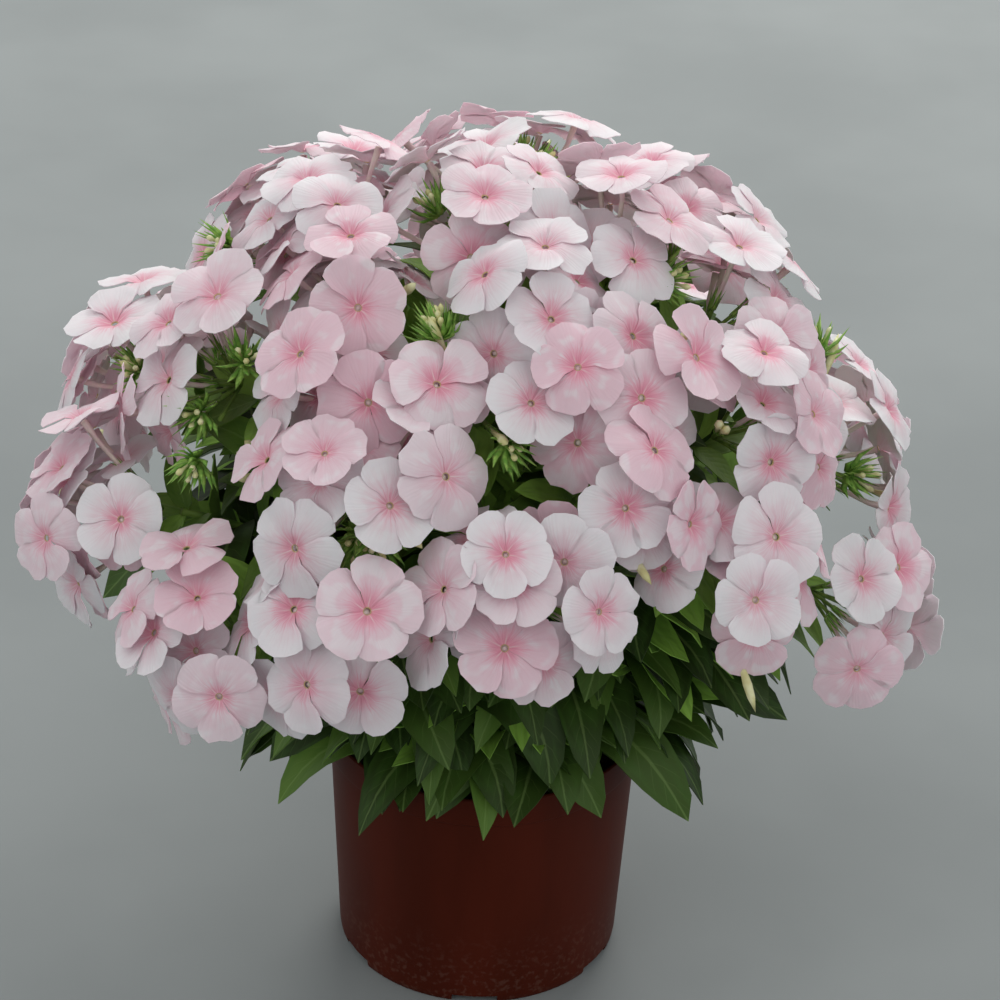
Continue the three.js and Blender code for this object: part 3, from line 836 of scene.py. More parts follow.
def along_bend(bend, side, radius):
    """Carries a straight pattern along a bend: its height runs along it."""
    def place(x, y, z):
        way = bend_way(bend, z)
        level = (side - way * side.dot(way)).normalized()
        return bend_point(bend, z) + level * (x * radius) + way.cross(level) * (y * radius)
    return place


# %% [markdown]
# A finished piece becomes an object of the scene. It rides on the frame's one body and takes the
# place of the node that it dresses.

# %% Make a piece
def as_object(name, bm):
    thing = bpy.data.objects.new(name, as_mesh(name, bm))
    bpy.context.scene.collection.objects.link(thing)
    return thing


def new_piece(name, bm, materials, slot, *nodes):
    """Makes an object that rides on the frame and replaces nodes of it."""
    piece = as_object(name, bm)
    for material in materials:
        piece.data.materials.append(material)
    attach(piece, "root")
    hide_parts(*nodes)


# %% [markdown]
# ## Florets
#
# A phlox floret is a slim tube that opens into five broad petals. Each petal is widest past its
# middle, with a soft, slightly notched end, and one edge lies over the next petal while the other
# lies under the one before. No two are alike: a young floret is still cupped, an old one bends back,
# and each petal dips, arches and ripples a little. These habits are a few numbers drawn for each
# floret and each petal.

# %% Bend a petal
PETAL_THICK = 0.3 * MM
THROAT = 0.06
DISH = 1.6 * MM


def petal_habit(draw):
    """How one petal differs from a flat one, as shares of the floret's radius."""
    return SimpleNamespace(
        lift=stray(draw, 0.18) - 0.26 * next(draw) ** 5, arch=(next(draw) - 0.25) * 0.18,
        tuck=0.014 + 0.012 * next(draw), fold=(next(draw) - 0.3) * 0.11,
        ripple=0.02 + 0.04 * next(draw), phase=next(draw) * 2 * math.pi,
        crinkle=0.012 + 0.018 * next(draw), notch=0.07 * next(draw) ** 2,
        reach=0.97 + 0.07 * next(draw), width=0.985 + 0.1 * next(draw),
        twist=stray(draw, 0.06),
    )


def petal_place(floret, k, habit, cup):
    """Bends the flat blade into one petal of a floret."""
    s, t = across(floret.face)
    tip = floret.spin + (k + 0.5) * FIFTH + habit.twist

    def place(u, v, thick):
        # The outline: rounded corners, a notch in the middle of the end, and a crinkled rim.
        reach = THROAT + (1 - THROAT) * v
        corner = 0.13 * abs(u) ** 3.2
        notch = habit.notch * math.exp(-((u / 0.2) ** 2))
        crinkle = habit.crinkle * (math.sin(6 * u + habit.phase) + 0.6 * math.sin(11 * u - habit.phase))
        reach *= habit.reach * (1 - (corner + notch - crinkle) * v**4)
        full = lerp(1.02, 1.1, smooth(0.25, 0.55, v)) - 0.17 * smooth(0.6, 1.0, v)
        half = FIFTH / 2 * (1 + (habit.width * full - 1) * smooth(0.2, 0.5, v))
        bearing = tip + u * half
        # The height: a funnel into the throat, then the petal's lift, arch, tuck, ripples and fold.
        funnel = -DISH * (1 - smooth(0.02, 0.34, reach)) - 1.2 * MM * (1 - smooth(0.04, 0.14, reach))
        bend = (habit.lift + cup) * reach**1.6 - habit.arch * u * u * reach**1.4
        bend += habit.tuck * u * smooth(0.2, 0.5, reach)
        bend += habit.ripple * math.sin(3.2 * u + habit.phase) * v**3
        bend += habit.crinkle * math.sin(9 * u + 2 * habit.phase) * v**4
        bend -= habit.fold * math.exp(-((u / 0.25) ** 2)) * v * (1 - 0.5 * v)
        height = funnel + bend * floret.size + thick * PETAL_THICK
        spread = s * math.cos(bearing) + t * math.sin(bearing)
        return floret.centre + spread * (reach * floret.size) + floret.face * height
    return place


print("a petal is", round(PETAL_THICK / MM, 2), "mm thick")

# %% [markdown]
# Behind its petals a floret narrows to a tube, as long as the petals are, on a short green stalk. Five
# narrow sepals, the teeth of the calyx, lie along the tube's lower half. Tube and stalk share one
# bend, which runs from the heart of the head to the throat.

# %% Plant a floret
CALYX_TEETH = 5


def floret_bend(floret):
    """The way of a floret's stalk and tube, from the heart of the head to the throat."""
    end = floret.centre - floret.face * (DISH + 1.1 * MM)
    reach = (end - floret.heart).length
    return (
        floret.heart, floret.heart + floret.way * (0.4 * reach),
        end - floret.face * (0.35 * reach), end,
    )


def plant_sepal(greens, bend, side, bearing, start, length):
    """One narrow tooth of the calyx, which lies along the tube and stands a little off its end."""
    body = along_bend(bend, side, 1.0)

    def place(x, y, z):
        off = 1.0 * MM + 1.1 * MM * z * z
        c, s = math.cos(bearing), math.sin(bearing)
        x, y = off + x * 0.28 * MM, y * 0.75 * MM
        return body(c * x - s * y, s * x + c * y, start + z * length)
    plant(greens, awl_pattern, place, 2)


def plant_floret(petals, greens, floret, draw):
    cup = (next(draw) - 0.62) * 0.24
    tint = next(draw)
    for k in range(5):
        place = petal_place(floret, k, petal_habit(draw), cup)
        plant(petals, petal_pattern, place, 0, tint)
    side, _ = across(floret.face)
    bend = floret_bend(floret)
    plant(petals, tube_pattern, along_bend(bend, side, 1.25 * MM), 1)
    plant(greens, stalk_pattern, along_bend(bend, side, 0.8 * MM), 1)
    for k in range(CALYX_TEETH):
        plant_sepal(greens, bend, side, k * FIFTH, 0.31, 0.26)


print("faces of a floret's petals:", 5 * len(petal_pattern.polygons))

# %% [markdown]
# ## Buds and young calyces
#
# Between the open florets stand their younger sisters: cream-green buds like furled umbrellas, and
# behind them tight tufts of sepals that hold buds too young to show. They grow from the same heart
# as the florets, and stand where the frame leaves room.

# %% Is there room?
WHOLE_FRAME = surface_of(*(node for node in frame["nodes"] if node != "soil"))


def is_clear(points, gap):
    return all(WHOLE_FRAME.find_nearest(point, gap)[0] is None for point in points)


print("clear above the plant:", is_clear([DOME_MIDDLE + UP], 1 * MM))

# %% [markdown]
# A bud is a furled cone on the same stalk and in the same calyx as a floret's tube. It is a little
# shorter, and leans off its stalk by a draw of its own.

# %% Plant a bud
def plant_bud(petals, greens, heart, way, length, draw):
    """A closed bud on its own stalk and calyx."""
    face = leaned(way, 0.12 * next(draw), next(draw) * 2 * math.pi)
    end = heart + way * (length * 0.5) + face * (length * 0.5)
    bend = (heart, heart + way * (0.4 * length), end - face * (0.3 * length), end)
    side, _ = across(face)
    plant(greens, stalk_pattern, along_bend(bend, side, 0.8 * MM), 1)
    body = along_bend(bend, side, 1.9 * MM)
    plant(petals, bud_pattern, lambda x, y, z: body(x, y, 0.36 + 0.64 * z), 2)
    for k in range(CALYX_TEETH):
        plant_sepal(greens, bend, side, k * FIFTH, 0.34, 0.28)


# %% [markdown]
# A tuft is a short stalk with a crown of young sepals, which fill a dome as the florets of a head do,
# and a few closed buds among them. A sepal or a bud that would touch the frame is left out.

# %% Plant a tuft
BRACTS = 26
BRACT_SPREAD = 1.35
BRACT_GAP = 1.2 * MM
TUFT_BUDS = 4
TUFT_BUD_GAP = 2 * MM
CROWN_DEPTH = 9 * MM


def straight(start, way, length):
    return tuple(start + way * (length * share) for share in (0, 0.33, 0.66, 1))


def plant_tuft(petals, greens, heart, way, length, draw):
    """A tight tuft of young sepals on a short stalk, with a few young buds in it."""
    side, _ = across(way)
    plant(greens, stalk_pattern, along_bend(straight(heart, way, length), side, 1.0 * MM), 1)
    crown = heart + way * (length - CROWN_DEPTH)
    for i in range(BRACTS):
        polar = BRACT_SPREAD * math.sqrt((i + 0.5) / BRACTS)
        lean = leaned(way, math.tan(min(polar, 1.3)), i * GOLDEN_ANGLE + next(draw))
        reach = (10 + 5 * next(draw)) * MM
        tip = crown + lean * reach + way * (0.25 * reach)
        sweep = (crown, crown + lean * (0.4 * reach), tip - way * (0.3 * reach), tip)
        body = along_bend(sweep, across(lean)[0], 1.0)
        if is_clear([tip], BRACT_GAP):
            plant(greens, awl_pattern, lambda x, y, z: body(x * 1.4 * MM, y * 0.5 * MM, z), 2)
    for i in range(TUFT_BUDS):
        lean = leaned(way, 0.15 + 0.4 * next(draw), i * GOLDEN_ANGLE)
        sweep = straight(crown, lean, (10 + 4 * next(draw)) * MM)
        body = along_bend(sweep, across(lean)[0], 1.3 * MM)
        if is_clear(sweep[2:], TUFT_BUD_GAP):
            plant(petals, bud_pattern, lambda x, y, z: body(x, y, 0.4 + 0.6 * z), 2)


print("a tuft has up to", BRACTS, "sepals and", TUFT_BUDS, "buds")

# %% [markdown]
# ## Leaves and stems
#
# The leaf is lance-shaped: a short stalk, its widest part a third of the way out, and a long point.
# The two halves fold up along the midrib and the edge waves. A broad leaf also hooks aside at its tip.

# %% Bend a leaf
LEAF_THICK = 0.45 * MM


# A leaf's tint paints light and shade on it: the dark of shade at 0, sunlit green at 1.
def plant_leaf(greens, leaf, draw, pattern, tint, breadth=1.0):
    rib = leaf_rib(leaf, leaf.give)
    half = leaf_half_width(leaf, leaf.give) * breadth
    shift = leaf.seat - leaf.root
    wave = next(draw) * 2 * math.pi
    ruffle = (0.04 + 0.08 * next(draw)) * half
    curl = (next(draw) - 0.3) * 0.25
    twist = stray(draw, 1.5)
    hook = 2.2 * (breadth - 1) * half * math.sin(wave)
    fullness = 0.85 / breadth**1.2

    def place(u, v, thick):
        # The place on the midrib, between two of its steps, and the blade's directions there.
        stretch = min(int(v * LEAF_STEPS), LEAF_STEPS - 1)
        share = v * LEAF_STEPS - stretch
        point, width, face = (
            low.lerp(high, share) for low, high in zip(rib[stretch], rib[stretch + 1])
        )
        point += shift * (1 - v) ** 2
        c, s = math.cos(twist * v * v), math.sin(twist * v * v)
        width, face = width * c + face * s, face * c - width * s
        # The outline, then the fold along the midrib and the waves of the edge.
        w = max(math.sin(math.pi * min(v, 1) ** 0.72) ** fullness, 0.1 * (1 - v)) * half
        fold = abs(u) * w * (LEAF_FOLD + 0.08 - curl * v)
        edge = ruffle * math.sin(9 * v + wave + (0 if u > 0 else 1.5)) * u * u * smooth(0.1, 0.4, v)
        aside = u * w + hook * v**3
        return point + width * aside + face * (fold + edge + thick * LEAF_THICK)
    plant(greens, pattern, place, 0, tint)


# %% [markdown]
# The stem is a round rod that follows the same bend as the frame's. Its lowest stretch is in the soil
# and comes straight up out of its hole.

# %% Bend a stem
BURIED = 0.1


def plant_stem(greens, foot, bend, radius):
    side = Vector((1, 0, 0)) if abs(bend_way(bend, 0).x) < 0.9 else UP
    body = along_bend(bend, side, 1.0)

    def place(x, y, z):
        thick = radius * lerp(1.05, 0.8, z)
        if z >= BURIED:
            return body(x * thick, y * thick, (z - BURIED) / (1 - BURIED))
        return body(x * thick, y * thick, 0) - (bend[0] - foot) * (1 - z / BURIED)
    plant(greens, stem_pattern, place, 1)


# %% [markdown]
# ## Small leaves
#
# A shoot has more leaves than the frame holds. Small ones grow under the head and fill the gaps
# between the flowers with green. Each tries the same bends as the frame's leaves did, until its
# midrib and the blade beside it are clear of the frame.

# %% Small upper leaves
# How far up the shoot each row of them grows. A high shoot is bare below the row of this number.
UPPER_ROWS = (0.1, 0.2, 0.3, 0.38, 0.46, 0.54, 0.62, 0.7, 0.77, 0.84, 0.9, 0.95, 0.99)
BARE_ROWS = 5
# The steps of the midrib at which a leaf's whole blade, or only its midrib, has to be clear.
BLADE_STEPS = (3, 5, 7)
TIP_STEPS = (9, 12)
LEAF_GAP = 1.2 * MM


def is_free(leaf, give, breadth=0.8):
    """Whether a leaf's midrib and the blade beside it keep clear of the frame."""
    rib = leaf_rib(leaf, give)
    half = leaf_half_width(leaf, give) * breadth
    spots = [rib[i][0] + rib[i][1] * (half * edge) for i in BLADE_STEPS for edge in (-1, 0, 1)]
    return is_clear(spots + [rib[i][0] for i in TIP_STEPS], LEAF_GAP)


def bent_clear(shoot, at, bearing, length, droop):
    """A leaf of the shoot, with the first bend that is clear, if there is one."""
    leaf = new_leaf(shoot.bend, shoot.turn, at, bearing, length, droop)
    leaf.give = first_fit(BENDS, lambda give: is_free(leaf, give))
    return [leaf] if leaf.give else []


def upper_leaves(shoot):
    draw, leaves = shoot.extra, []
    rows = UPPER_ROWS if shoot.rise < HIGH_RISE else UPPER_ROWS[BARE_ROWS:]
    for row, at in enumerate(rows):
        for bearing in (0, math.pi):
            turned = bearing + row * math.pi / 2 + stray(draw, 0.8)
            length = lerp(66, 32, at) * MM * (0.8 + 0.3 * next(draw))
            leaves += bent_clear(shoot, at, turned, length, 0.2 + 0.6 * next(draw))
    return leaves


print("rows of small upper leaves:", len(UPPER_ROWS))

# %% [markdown]
# The lowest leaves are broad and hang over the pot's rim with hooked tips. They hide the soil and the
# stems' feet. Each turns and droops until it is clear of the frame's leaves, as the upper ones do.

# %% Hang the lowest leaves
SKIRT_BREADTH = 1.25
SKIRT_RISE = 50
LOW_ROWS, MIDDLE_ROWS = 11, 6


def skirt_leaves(shoot):
    draw, leaves = shoot.extra, []
    rows = LOW_ROWS if shoot.rise < LOW_RISE else MIDDLE_ROWS if shoot.rise < SKIRT_RISE else 0
    for row in range(rows):
        at = 0.05 + 0.08 * row
        for side in (-1, 1):
            bearing = side * ((0.2 if row % 2 else 1.1) + 0.9 * next(draw))
            length = lerp(56, 44, at) * MM * (0.75 + 0.5 * next(draw))
            leaves += bent_clear(shoot, at, bearing, length, 0.5 + 2.2 * next(draw))
    return leaves


print("rows of leaves on a low shoot:", LOW_ROWS)

# %% [markdown]
# A few leaves reach out from under the flowers and make the plant's outline there. Each is asked for
# by where its tip hangs, and of all the leaves that could grow near it, the clear one whose tip comes
# nearest is kept.

# %% Hang leaves by their tips
# Where the tips hang: bearing in degrees, distance from the pot's axis and height in millimetres.
# The far side has as many. A leaf may miss its place by a little.
HANGING_TIPS = [
    (-31, 88, 87), (-20, 103, 93), (-13, 109, 112), (-9, 128, 132), (-20, 118, 158), (-35, 104, 161),
    (-49, 80, 103), (-44, 87, 132), (-160, 87, 72), (-148, 85, 88), (-168, 99, 87), (-175, 113, 80),
    (-103, 74, 102), (-125, 79, 110), (-84, 72, 121), (180, 169, 136), (-176, 151, 163),
    (0, 145, 124), (-172, 140, 99), (-66, 77, 128),
]
HANGING_TIPS += [(turn + 180, distance, height) for turn, distance, height in HANGING_TIPS]
TIP_MISS = 28 * MM


def leaves_near(goal):
    """Leaves of the nearest low shoots that could reach as far as a place."""
    low = [shoot for shoot in shoots if shoot.rise < SKIRT_RISE]
    low.sort(key=lambda shoot: (shoot.heart - goal).length)
    # How far up the shoot, turned how far aside, how long in millimetres, and with how much droop.
    habits = itertools.product(
        low[:4], (0.12, 0.3, 0.48, 0.66, 0.84, 0.95), (-1.5, -0.9, -0.3, 0.3, 0.9, 1.5),
        (50, 66, 82), (1.0, 1.9, 2.8, 3.7),
    )
    for shoot, at, bearing, length, droop in habits:
        leaf = new_leaf(shoot.bend, shoot.turn, at, bearing, length * MM, droop)
        leaf.give, leaf.shoot = (1, 0, 0), shoot
        if 0.4 * leaf.length < (goal - leaf.root).length < 1.1 * leaf.length:
            yield leaf


def hang_leaf(turn, distance, height):
    goal = POT_FOOT + bearing_way(turn) * (distance * MM) + UP * (height * MM)
    nearest, miss = None, TIP_MISS
    for leaf in leaves_near(goal):
        off = (leaf_rib(leaf, leaf.give)[-1][0] - goal).length
        if off < miss and is_free(leaf, leaf.give, 0.4):
            nearest, miss = leaf, off
    if nearest:
        nearest.shoot.hanging.append(nearest)


for shoot in shoots:
    shoot.hanging = []
for tip in HANGING_TIPS:
    hang_leaf(*tip)
print("hanging leaves:", total("hanging"), "of", len(HANGING_TIPS))

# %% [markdown]
# ## Places for tufts and buds
#
# The tufts and buds are asked for where they show between the heads. From there a spiral leads
# outwards, and each settles in the first place on it that is open: a little inside the dome, with a
# clear stalk behind it and nothing between it and the air.

# %% Open places
STALK_GAP = 1.4 * MM
AIR = 60 * MM


def nearest_shoot(place):
    return min(shoots, key=lambda shoot: (shoot.heart - place).length)


def dome_spiral(turn, rise, step, count):
    """Places on the dome that lie ever further from a bearing and a height, by steps in degrees."""
    for i in range(count):
        off = step * math.sqrt(i)
        yield dome_place(
            turn + off * math.cos(i * GOLDEN_ANGLE), rise + off * math.sin(i * GOLDEN_ANGLE)
        )


def open_place(turn, rise, depth, gap):
    for place, out in dome_spiral(turn, rise, 1.4, 120):
        place -= out * depth
        heart = nearest_shoot(place).heart
        stalk = [heart.lerp(place, share) for share in (0.5, 0.6, 0.7, 0.8, 0.9)]
        sees_air = WHOLE_FRAME.ray_cast(place, out, AIR)[0] is None
        if sees_air and is_clear([place], gap) and is_clear(stalk, STALK_GAP):
            return place
    return None


# %% [markdown]
# Each kind has a list of places for the near side, and the far side gets as many, half a turn round.

# %% Place tufts and buds
# Bearing and height in degrees.
TUFTS = [
    (-146, 81), (-100, 68), (-28, 63), (-12, 53), (11, 37), (-13, 26), (-147, 41), (-139, 34),
    (-141, 49), (-100, 54), (-89, 46), (-101, 28), (-109, 28),
]
BUDS = [
    (-110, 60), (-103, 60), (11, 36), (-42, 53), (-46, 49), (-46, 43), (-96, 37), (-102, 35),
    (-92, 44), (-112, 26), (-66, 29), (-19, 12), (-52, 12), (-178, 15),
]
TUFTS += [(turn + 180, rise) for turn, rise in TUFTS]
BUDS += [(turn + 180, rise) for turn, rise in BUDS]
# How deep inside the dome they stand, and how much room they need.
TUFT_DEPTH, TUFT_GAP = 14 * MM, 7 * MM
BUD_DEPTH, BUD_GAP = 8 * MM, 5 * MM

for shoot in shoots:
    shoot.tufts, shoot.buds = [], []
for turn, rise in TUFTS:
    place = open_place(turn, rise, TUFT_DEPTH, TUFT_GAP)
    if place:
        nearest_shoot(place).tufts.append(place)
for turn, rise in BUDS:
    place = open_place(turn, rise, BUD_DEPTH, BUD_GAP)
    if place:
        nearest_shoot(place).buds.append(place)
print("tufts:", total("tufts"), "buds:", total("buds"))

# %% [markdown]
# ## Sister florets
#
# A head has more florets than the frame holds. The others are smaller and stand a little lower, half
# hidden behind their sisters. A sister needs room for its whole disc: clear of the frame, and not
# too near to another sister, a tuft, a bud or a gap that is to stay green.

# %% Room for a sister
SISTERS_APART = 25 * MM
TUFT_ROOM = 31 * MM
BUD_ROOM = 19 * MM
GAP_ROOM = 27 * MM
DISC_GAP = 1.3 * MM
# Gaps between the heads where leaves show: bearing and height in degrees.
GREEN_GAPS = [
    (-142, 43), (-152, 35), (-92, 43), (-75, 40), (-118, 76), (-117, 69), (-24, 59), (-13, 30),
    (-107, 34), (-123, 63),
]
sister_centres = []
rooms = [(dome_place(*gap)[0], GAP_ROOM) for gap in GREEN_GAPS]
rooms += [(place, TUFT_ROOM) for shoot in shoots for place in shoot.tufts]
rooms += [(place, BUD_ROOM) for shoot in shoots for place in shoot.buds]


def disc_points(floret):
    s, t = across(floret.face)
    ring = [s * math.cos(i * FIFTH / 2) + t * math.sin(i * FIFTH / 2) for i in range(10)]
    rings = [floret.centre + way * (floret.size * r) for way in ring for r in (0.5, 0.97)]
    return [floret.centre, *rings]


def has_room(floret):
    apart = all((floret.centre - centre).length >= SISTERS_APART for centre in sister_centres)
    roomy = all((floret.centre - place).length >= room for place, room in rooms)
    return apart and roomy and is_clear(disc_points(floret), DISC_GAP)


print("kept free:", len(rooms), "places")

# %% [markdown]
# A sister has a way out of the heart of its head, and opens at the end of the first stalk along it
# that gives room. Where none does, it is left out.

# %% Settle a sister
def new_sister(shoot, way, draw):
    """A floret a little smaller than its sisters, on a stalk of no length yet."""
    skyward = (way + UP * SKYWARD).normalized()
    return SimpleNamespace(
        heart=shoot.heart, way=way, face=leaned(skyward, 0.3 * next(draw), next(draw) * 2 * math.pi),
        size=FLORET_RADIUS * (0.84 + 0.14 * next(draw)), spin=next(draw) * 2 * math.pi,
    )


def settle(shoot, sister, stalks):
    """Opens a sister at the end of the first stalk that gives it room."""
    for stalk in stalks:
        sister.centre = sister.heart + sister.way * (stalk * MM)
        if has_room(sister):
            shoot.sisters.append(sister)
            sister_centres.append(sister.centre)
            return True
    return False


for shoot in shoots:
    shoot.sisters = []
print("heads that may hold sisters:", len(shoots))

# %% [markdown]
# Some sisters are asked for by their place in the dome's outline, which would show a notch there. Each
# opens as near to that place as it goes.

# %% Sisters in the outline
# Where the outline would show a notch: bearing and height in degrees.
NOTCHES = [
    (-3, 11), (-1, 17), (-5, 5), (135, 63), (126, 67), (142, 60), (152, 55), (5, 27), (-175, 78),
    (-34, 28), (-36, 34),
]
# How far below the outline such a sister may open, in millimetres.
NOTCH_DEPTHS = (11, 15)


def close_notch(turn, rise):
    """Opens a sister on the dome's outline, as near as it goes to the place asked for."""
    for place, _ in dome_spiral(turn, rise, 1.2, 60):
        shoot = nearest_shoot(place)
        reach = (place - shoot.heart).length
        sister = new_sister(shoot, (place - shoot.heart) / reach, shoot.extra)
        if settle(shoot, sister, [reach / MM - depth for depth in NOTCH_DEPTHS]):
            return


for turn, rise in NOTCHES:
    close_notch(turn, rise)
print("sisters in the outline:", total("sisters"))

# %% [markdown]
# The others try a wide cone of stalks out of the heart, spread evenly by the golden angle, until
# their head has as many as it may have.

# %% Sisters in the heads
# The lengths of stalk that are tried, in millimetres.
SISTER_STALKS = (46, 42, 38, 34, 30, 26)
# A head on the near side, between these bearings, has few sisters, and any other has many.
NEAR_SIDE = (-150, 30)
FEW, MANY = 2, 6


def spiral_ways(axis, count, spread):
    """Directions that fill a cone evenly, as seeds do in a sunflower."""
    side, other = across(axis)
    for i in range(count):
        polar = math.acos(1 - (i + 0.5) / count * (1 - math.cos(spread)))
        lean = side * math.cos(i * GOLDEN_ANGLE) + other * math.sin(i * GOLDEN_ANGLE)
        yield axis * math.cos(polar) + lean * math.sin(polar)


def fill_head(shoot, most):
    """Opens sisters low in a head, wherever there is room between its florets."""
    for way in spiral_ways(shoot.out, 60, math.radians(90)):
        if len(shoot.sisters) >= most:
            return
        settle(shoot, new_sister(shoot, way, shoot.extra), SISTER_STALKS)


for shoot in shoots:
    fill_head(shoot, FEW if NEAR_SIDE[0] <= shoot.turn <= NEAR_SIDE[1] else MANY)
print("sisters in all:", total("sisters"))

# %% [markdown]
# ## Grow every shoot
#
# The side shoot is a thinner stem with its leaves, and its buds spread out from its tip.

# %% The side shoot's leaves and buds
SIDE_SPREAD = 0.85
SIDE_STALK = 19 * MM


def plant_side_shoot(petals, greens, draw):
    plant_stem(greens, side_start - side_way * MM, side_bend, STEM_RADIUS * 0.8)
    for leaf in side_leaves:
        # Its leaves get one painted tint, halfway between shade and sunlight.
        plant_leaf(greens, leaf, draw, leaf_pattern, 0.4)
    for i, share in enumerate(bud_draws):
        polar = SIDE_SPREAD * math.sqrt((i + 0.5) / SIDE_SHOOT.buds)
        way = leaned(side_out, math.tan(polar), i * GOLDEN_ANGLE)
        plant_bud(petals, greens, side_tip, way, SIDE_STALK * (0.8 + 0.4 * share), draw)


# %% [markdown]
# Each shoot becomes two pieces: its florets and buds, which take the place of the frame's head, and
# its stem, leaves, stalks and sepals, which take the place of the frame's stem. The tint of a leaf is
# partly painted light and shade and partly its own tone: 0 paints the dark of a leaf in shade, and 1
# the fresh green of a young leaf with painted sunlight on it.

# %% Grow the shoots
HOLE_DEPTH = 13.6 * MM

for shoot in shoots:
    draw = shoot.extra
    petals, greens = bmesh.new(), bmesh.new()
    with_marks(petals)
    with_marks(greens)
    for floret in shoot.blooms + shoot.sisters:
        plant_floret(petals, greens, floret, draw)
    for place in shoot.tufts:
        way = place - shoot.heart
        plant_tuft(petals, greens, shoot.heart, way.normalized(), way.length, draw)
    for place in shoot.buds:
        way = place - shoot.heart
        plant_bud(petals, greens, shoot.heart, way.normalized(), way.length, draw)
    plant_stem(greens, shoot.foot - UP * HOLE_DEPTH, shoot.bend, STEM_RADIUS)
    # Painted shade and light: the frame's, hanging and skirt leaves, low in the shade of the flowers, get
    # dark tints, and the small upper leaves light ones.
    for leaf in shoot.leaves:
        plant_leaf(greens, leaf, draw, leaf_pattern, 0.35 * next(draw))
    for leaf in upper_leaves(shoot):
        plant_leaf(greens, leaf, draw, small_leaf_pattern, 0.35 + 0.65 * next(draw))
    for leaf in shoot.hanging:
        plant_leaf(greens, leaf, draw, leaf_pattern, 0.3 * next(draw), SKIRT_BREADTH)
    for leaf in skirt_leaves(shoot):
        plant_leaf(greens, leaf, draw, small_leaf_pattern, 0.2 * next(draw), SKIRT_BREADTH)
    if shoot is bearer:
        plant_side_shoot(petals, greens, draw)
    head, stem = "head_" + shoot.name, "stem_" + shoot.name
    new_piece("florets_" + shoot.name, petals, (petal_skin, tube_skin, bud_skin), "petal", head)
    new_piece("shoot_" + shoot.name, greens, (leaf_skin, stem_skin, sepal_skin), "leaf", stem)
print("heads and shoots:", 2 * len(shoots), "pieces")

# %% [markdown]
# ## The pot
#
# The pot is moulded in one shot from polypropylene coloured red-brown. Its wall tapers so that
# it leaves the mould and stacks with others, a band stiffens its rim, and it stands on a ring that is
# cut into feet so that water can run away. One could stack cylinders, but a section that is spun
# gives the wall, the band and the soft edges at once.

# %% The pot's section
POT_RIM = (pot_high.x - pot_low.x) / 2
POT_HEIGHT = pot_high.z
POT_FOOT_RADIUS = 60 * MM
POT_WALL = 1.5 * MM
POT_BAND = 12 * MM
POT_STEP = 1.1 * MM
FOOT_HEIGHT = 4 * MM
FOOT_WIDTH = 11 * MM
SOFT_EDGE = 0.5 * MM
POT_STEPS = 96


def pot_section():
    """Half of the pot's section, from the middle of its underside round to the middle inside."""
    rim, foot, band = POT_RIM, POT_FOOT_RADIUS, POT_HEIGHT - POT_BAND
    inner, soft = foot - FOOT_WIDTH, SOFT_EDGE
    return [
        (0, FOOT_HEIGHT), (inner - soft, FOOT_HEIGHT), (inner, FOOT_HEIGHT - soft), (inner, soft),
        (inner + soft, 0), (foot - 4 * soft, 0), (foot - 2 * soft, 0.6 * soft), (foot - soft, 3 * soft),
        (foot - 0.2 * soft, 8 * soft),
        (rim - POT_STEP - soft, band - POT_STEP - soft), (rim - POT_STEP, band - POT_STEP),
        (rim - 0.3 * POT_STEP, band - 0.5 * POT_STEP), (rim, band + soft), (rim, POT_HEIGHT - soft),
        (rim - soft, POT_HEIGHT), (rim - POT_WALL + 0.3 * soft, POT_HEIGHT),
        (rim - POT_WALL, POT_HEIGHT - soft), (rim - POT_STEP - POT_WALL, band - 1 * MM),
        (foot - POT_WALL, FOOT_HEIGHT + 4 * MM), (foot - POT_WALL - 2.5 * MM, FOOT_HEIGHT + POT_WALL),
        (0, FOOT_HEIGHT + POT_WALL),
    ]


print("the pot's section has", len(pot_section()), "points")

# %% [markdown]
# The gaps between the feet and the drain holes are left by cores in the mould. Here the cores are
# blocks and pins, gathered in one mesh, that a boolean takes out of the spun pot. Cutting the ring
# face by face would give the same, but a change of the number of feet would mean doing it all again.

# %% Cores for the feet and the drain holes
DRAINS = 6
DRAIN_RADIUS = 5 * MM
# How wide the cut between two feet is, as a share of the foot ring's radius.
FOOT_GAP = 0.32


def cutters():
    bm = bmesh.new()
    for i in range(DRAINS):
        turn = Matrix.Rotation((i + 0.5) * 2 * math.pi / DRAINS, 4, "Z")
        block = (3 * FOOT_WIDTH, FOOT_GAP * POT_FOOT_RADIUS, 2 * FOOT_HEIGHT - 1 * MM)
        shape = turn @ Matrix.Translation((POT_FOOT_RADIUS, 0, 0)) @ Matrix.Diagonal((*block, 1))
        bmesh.ops.create_cube(bm, size=1, matrix=shape)
        place = (POT_FOOT_RADIUS - FOOT_WIDTH - DRAIN_RADIUS - 3 * MM, 0, FOOT_HEIGHT)
        bmesh.ops.create_cone(
            bm, cap_ends=True, segments=20, radius1=DRAIN_RADIUS, radius2=DRAIN_RADIUS,
            depth=6 * POT_WALL, matrix=turn @ Matrix.Translation(place),
        )
    return bm


print("cores:", DRAINS, "blocks and", DRAINS, "pins")

# %% [markdown]
# The cores are taken out with Blender's exact solver, which copes with faces that lie in one plane.
# Edges sharper than the crease keep a hard line in the shading, and all others are rounded.

# %% Spin and cut the pot
POT_CREASE = math.radians(35)

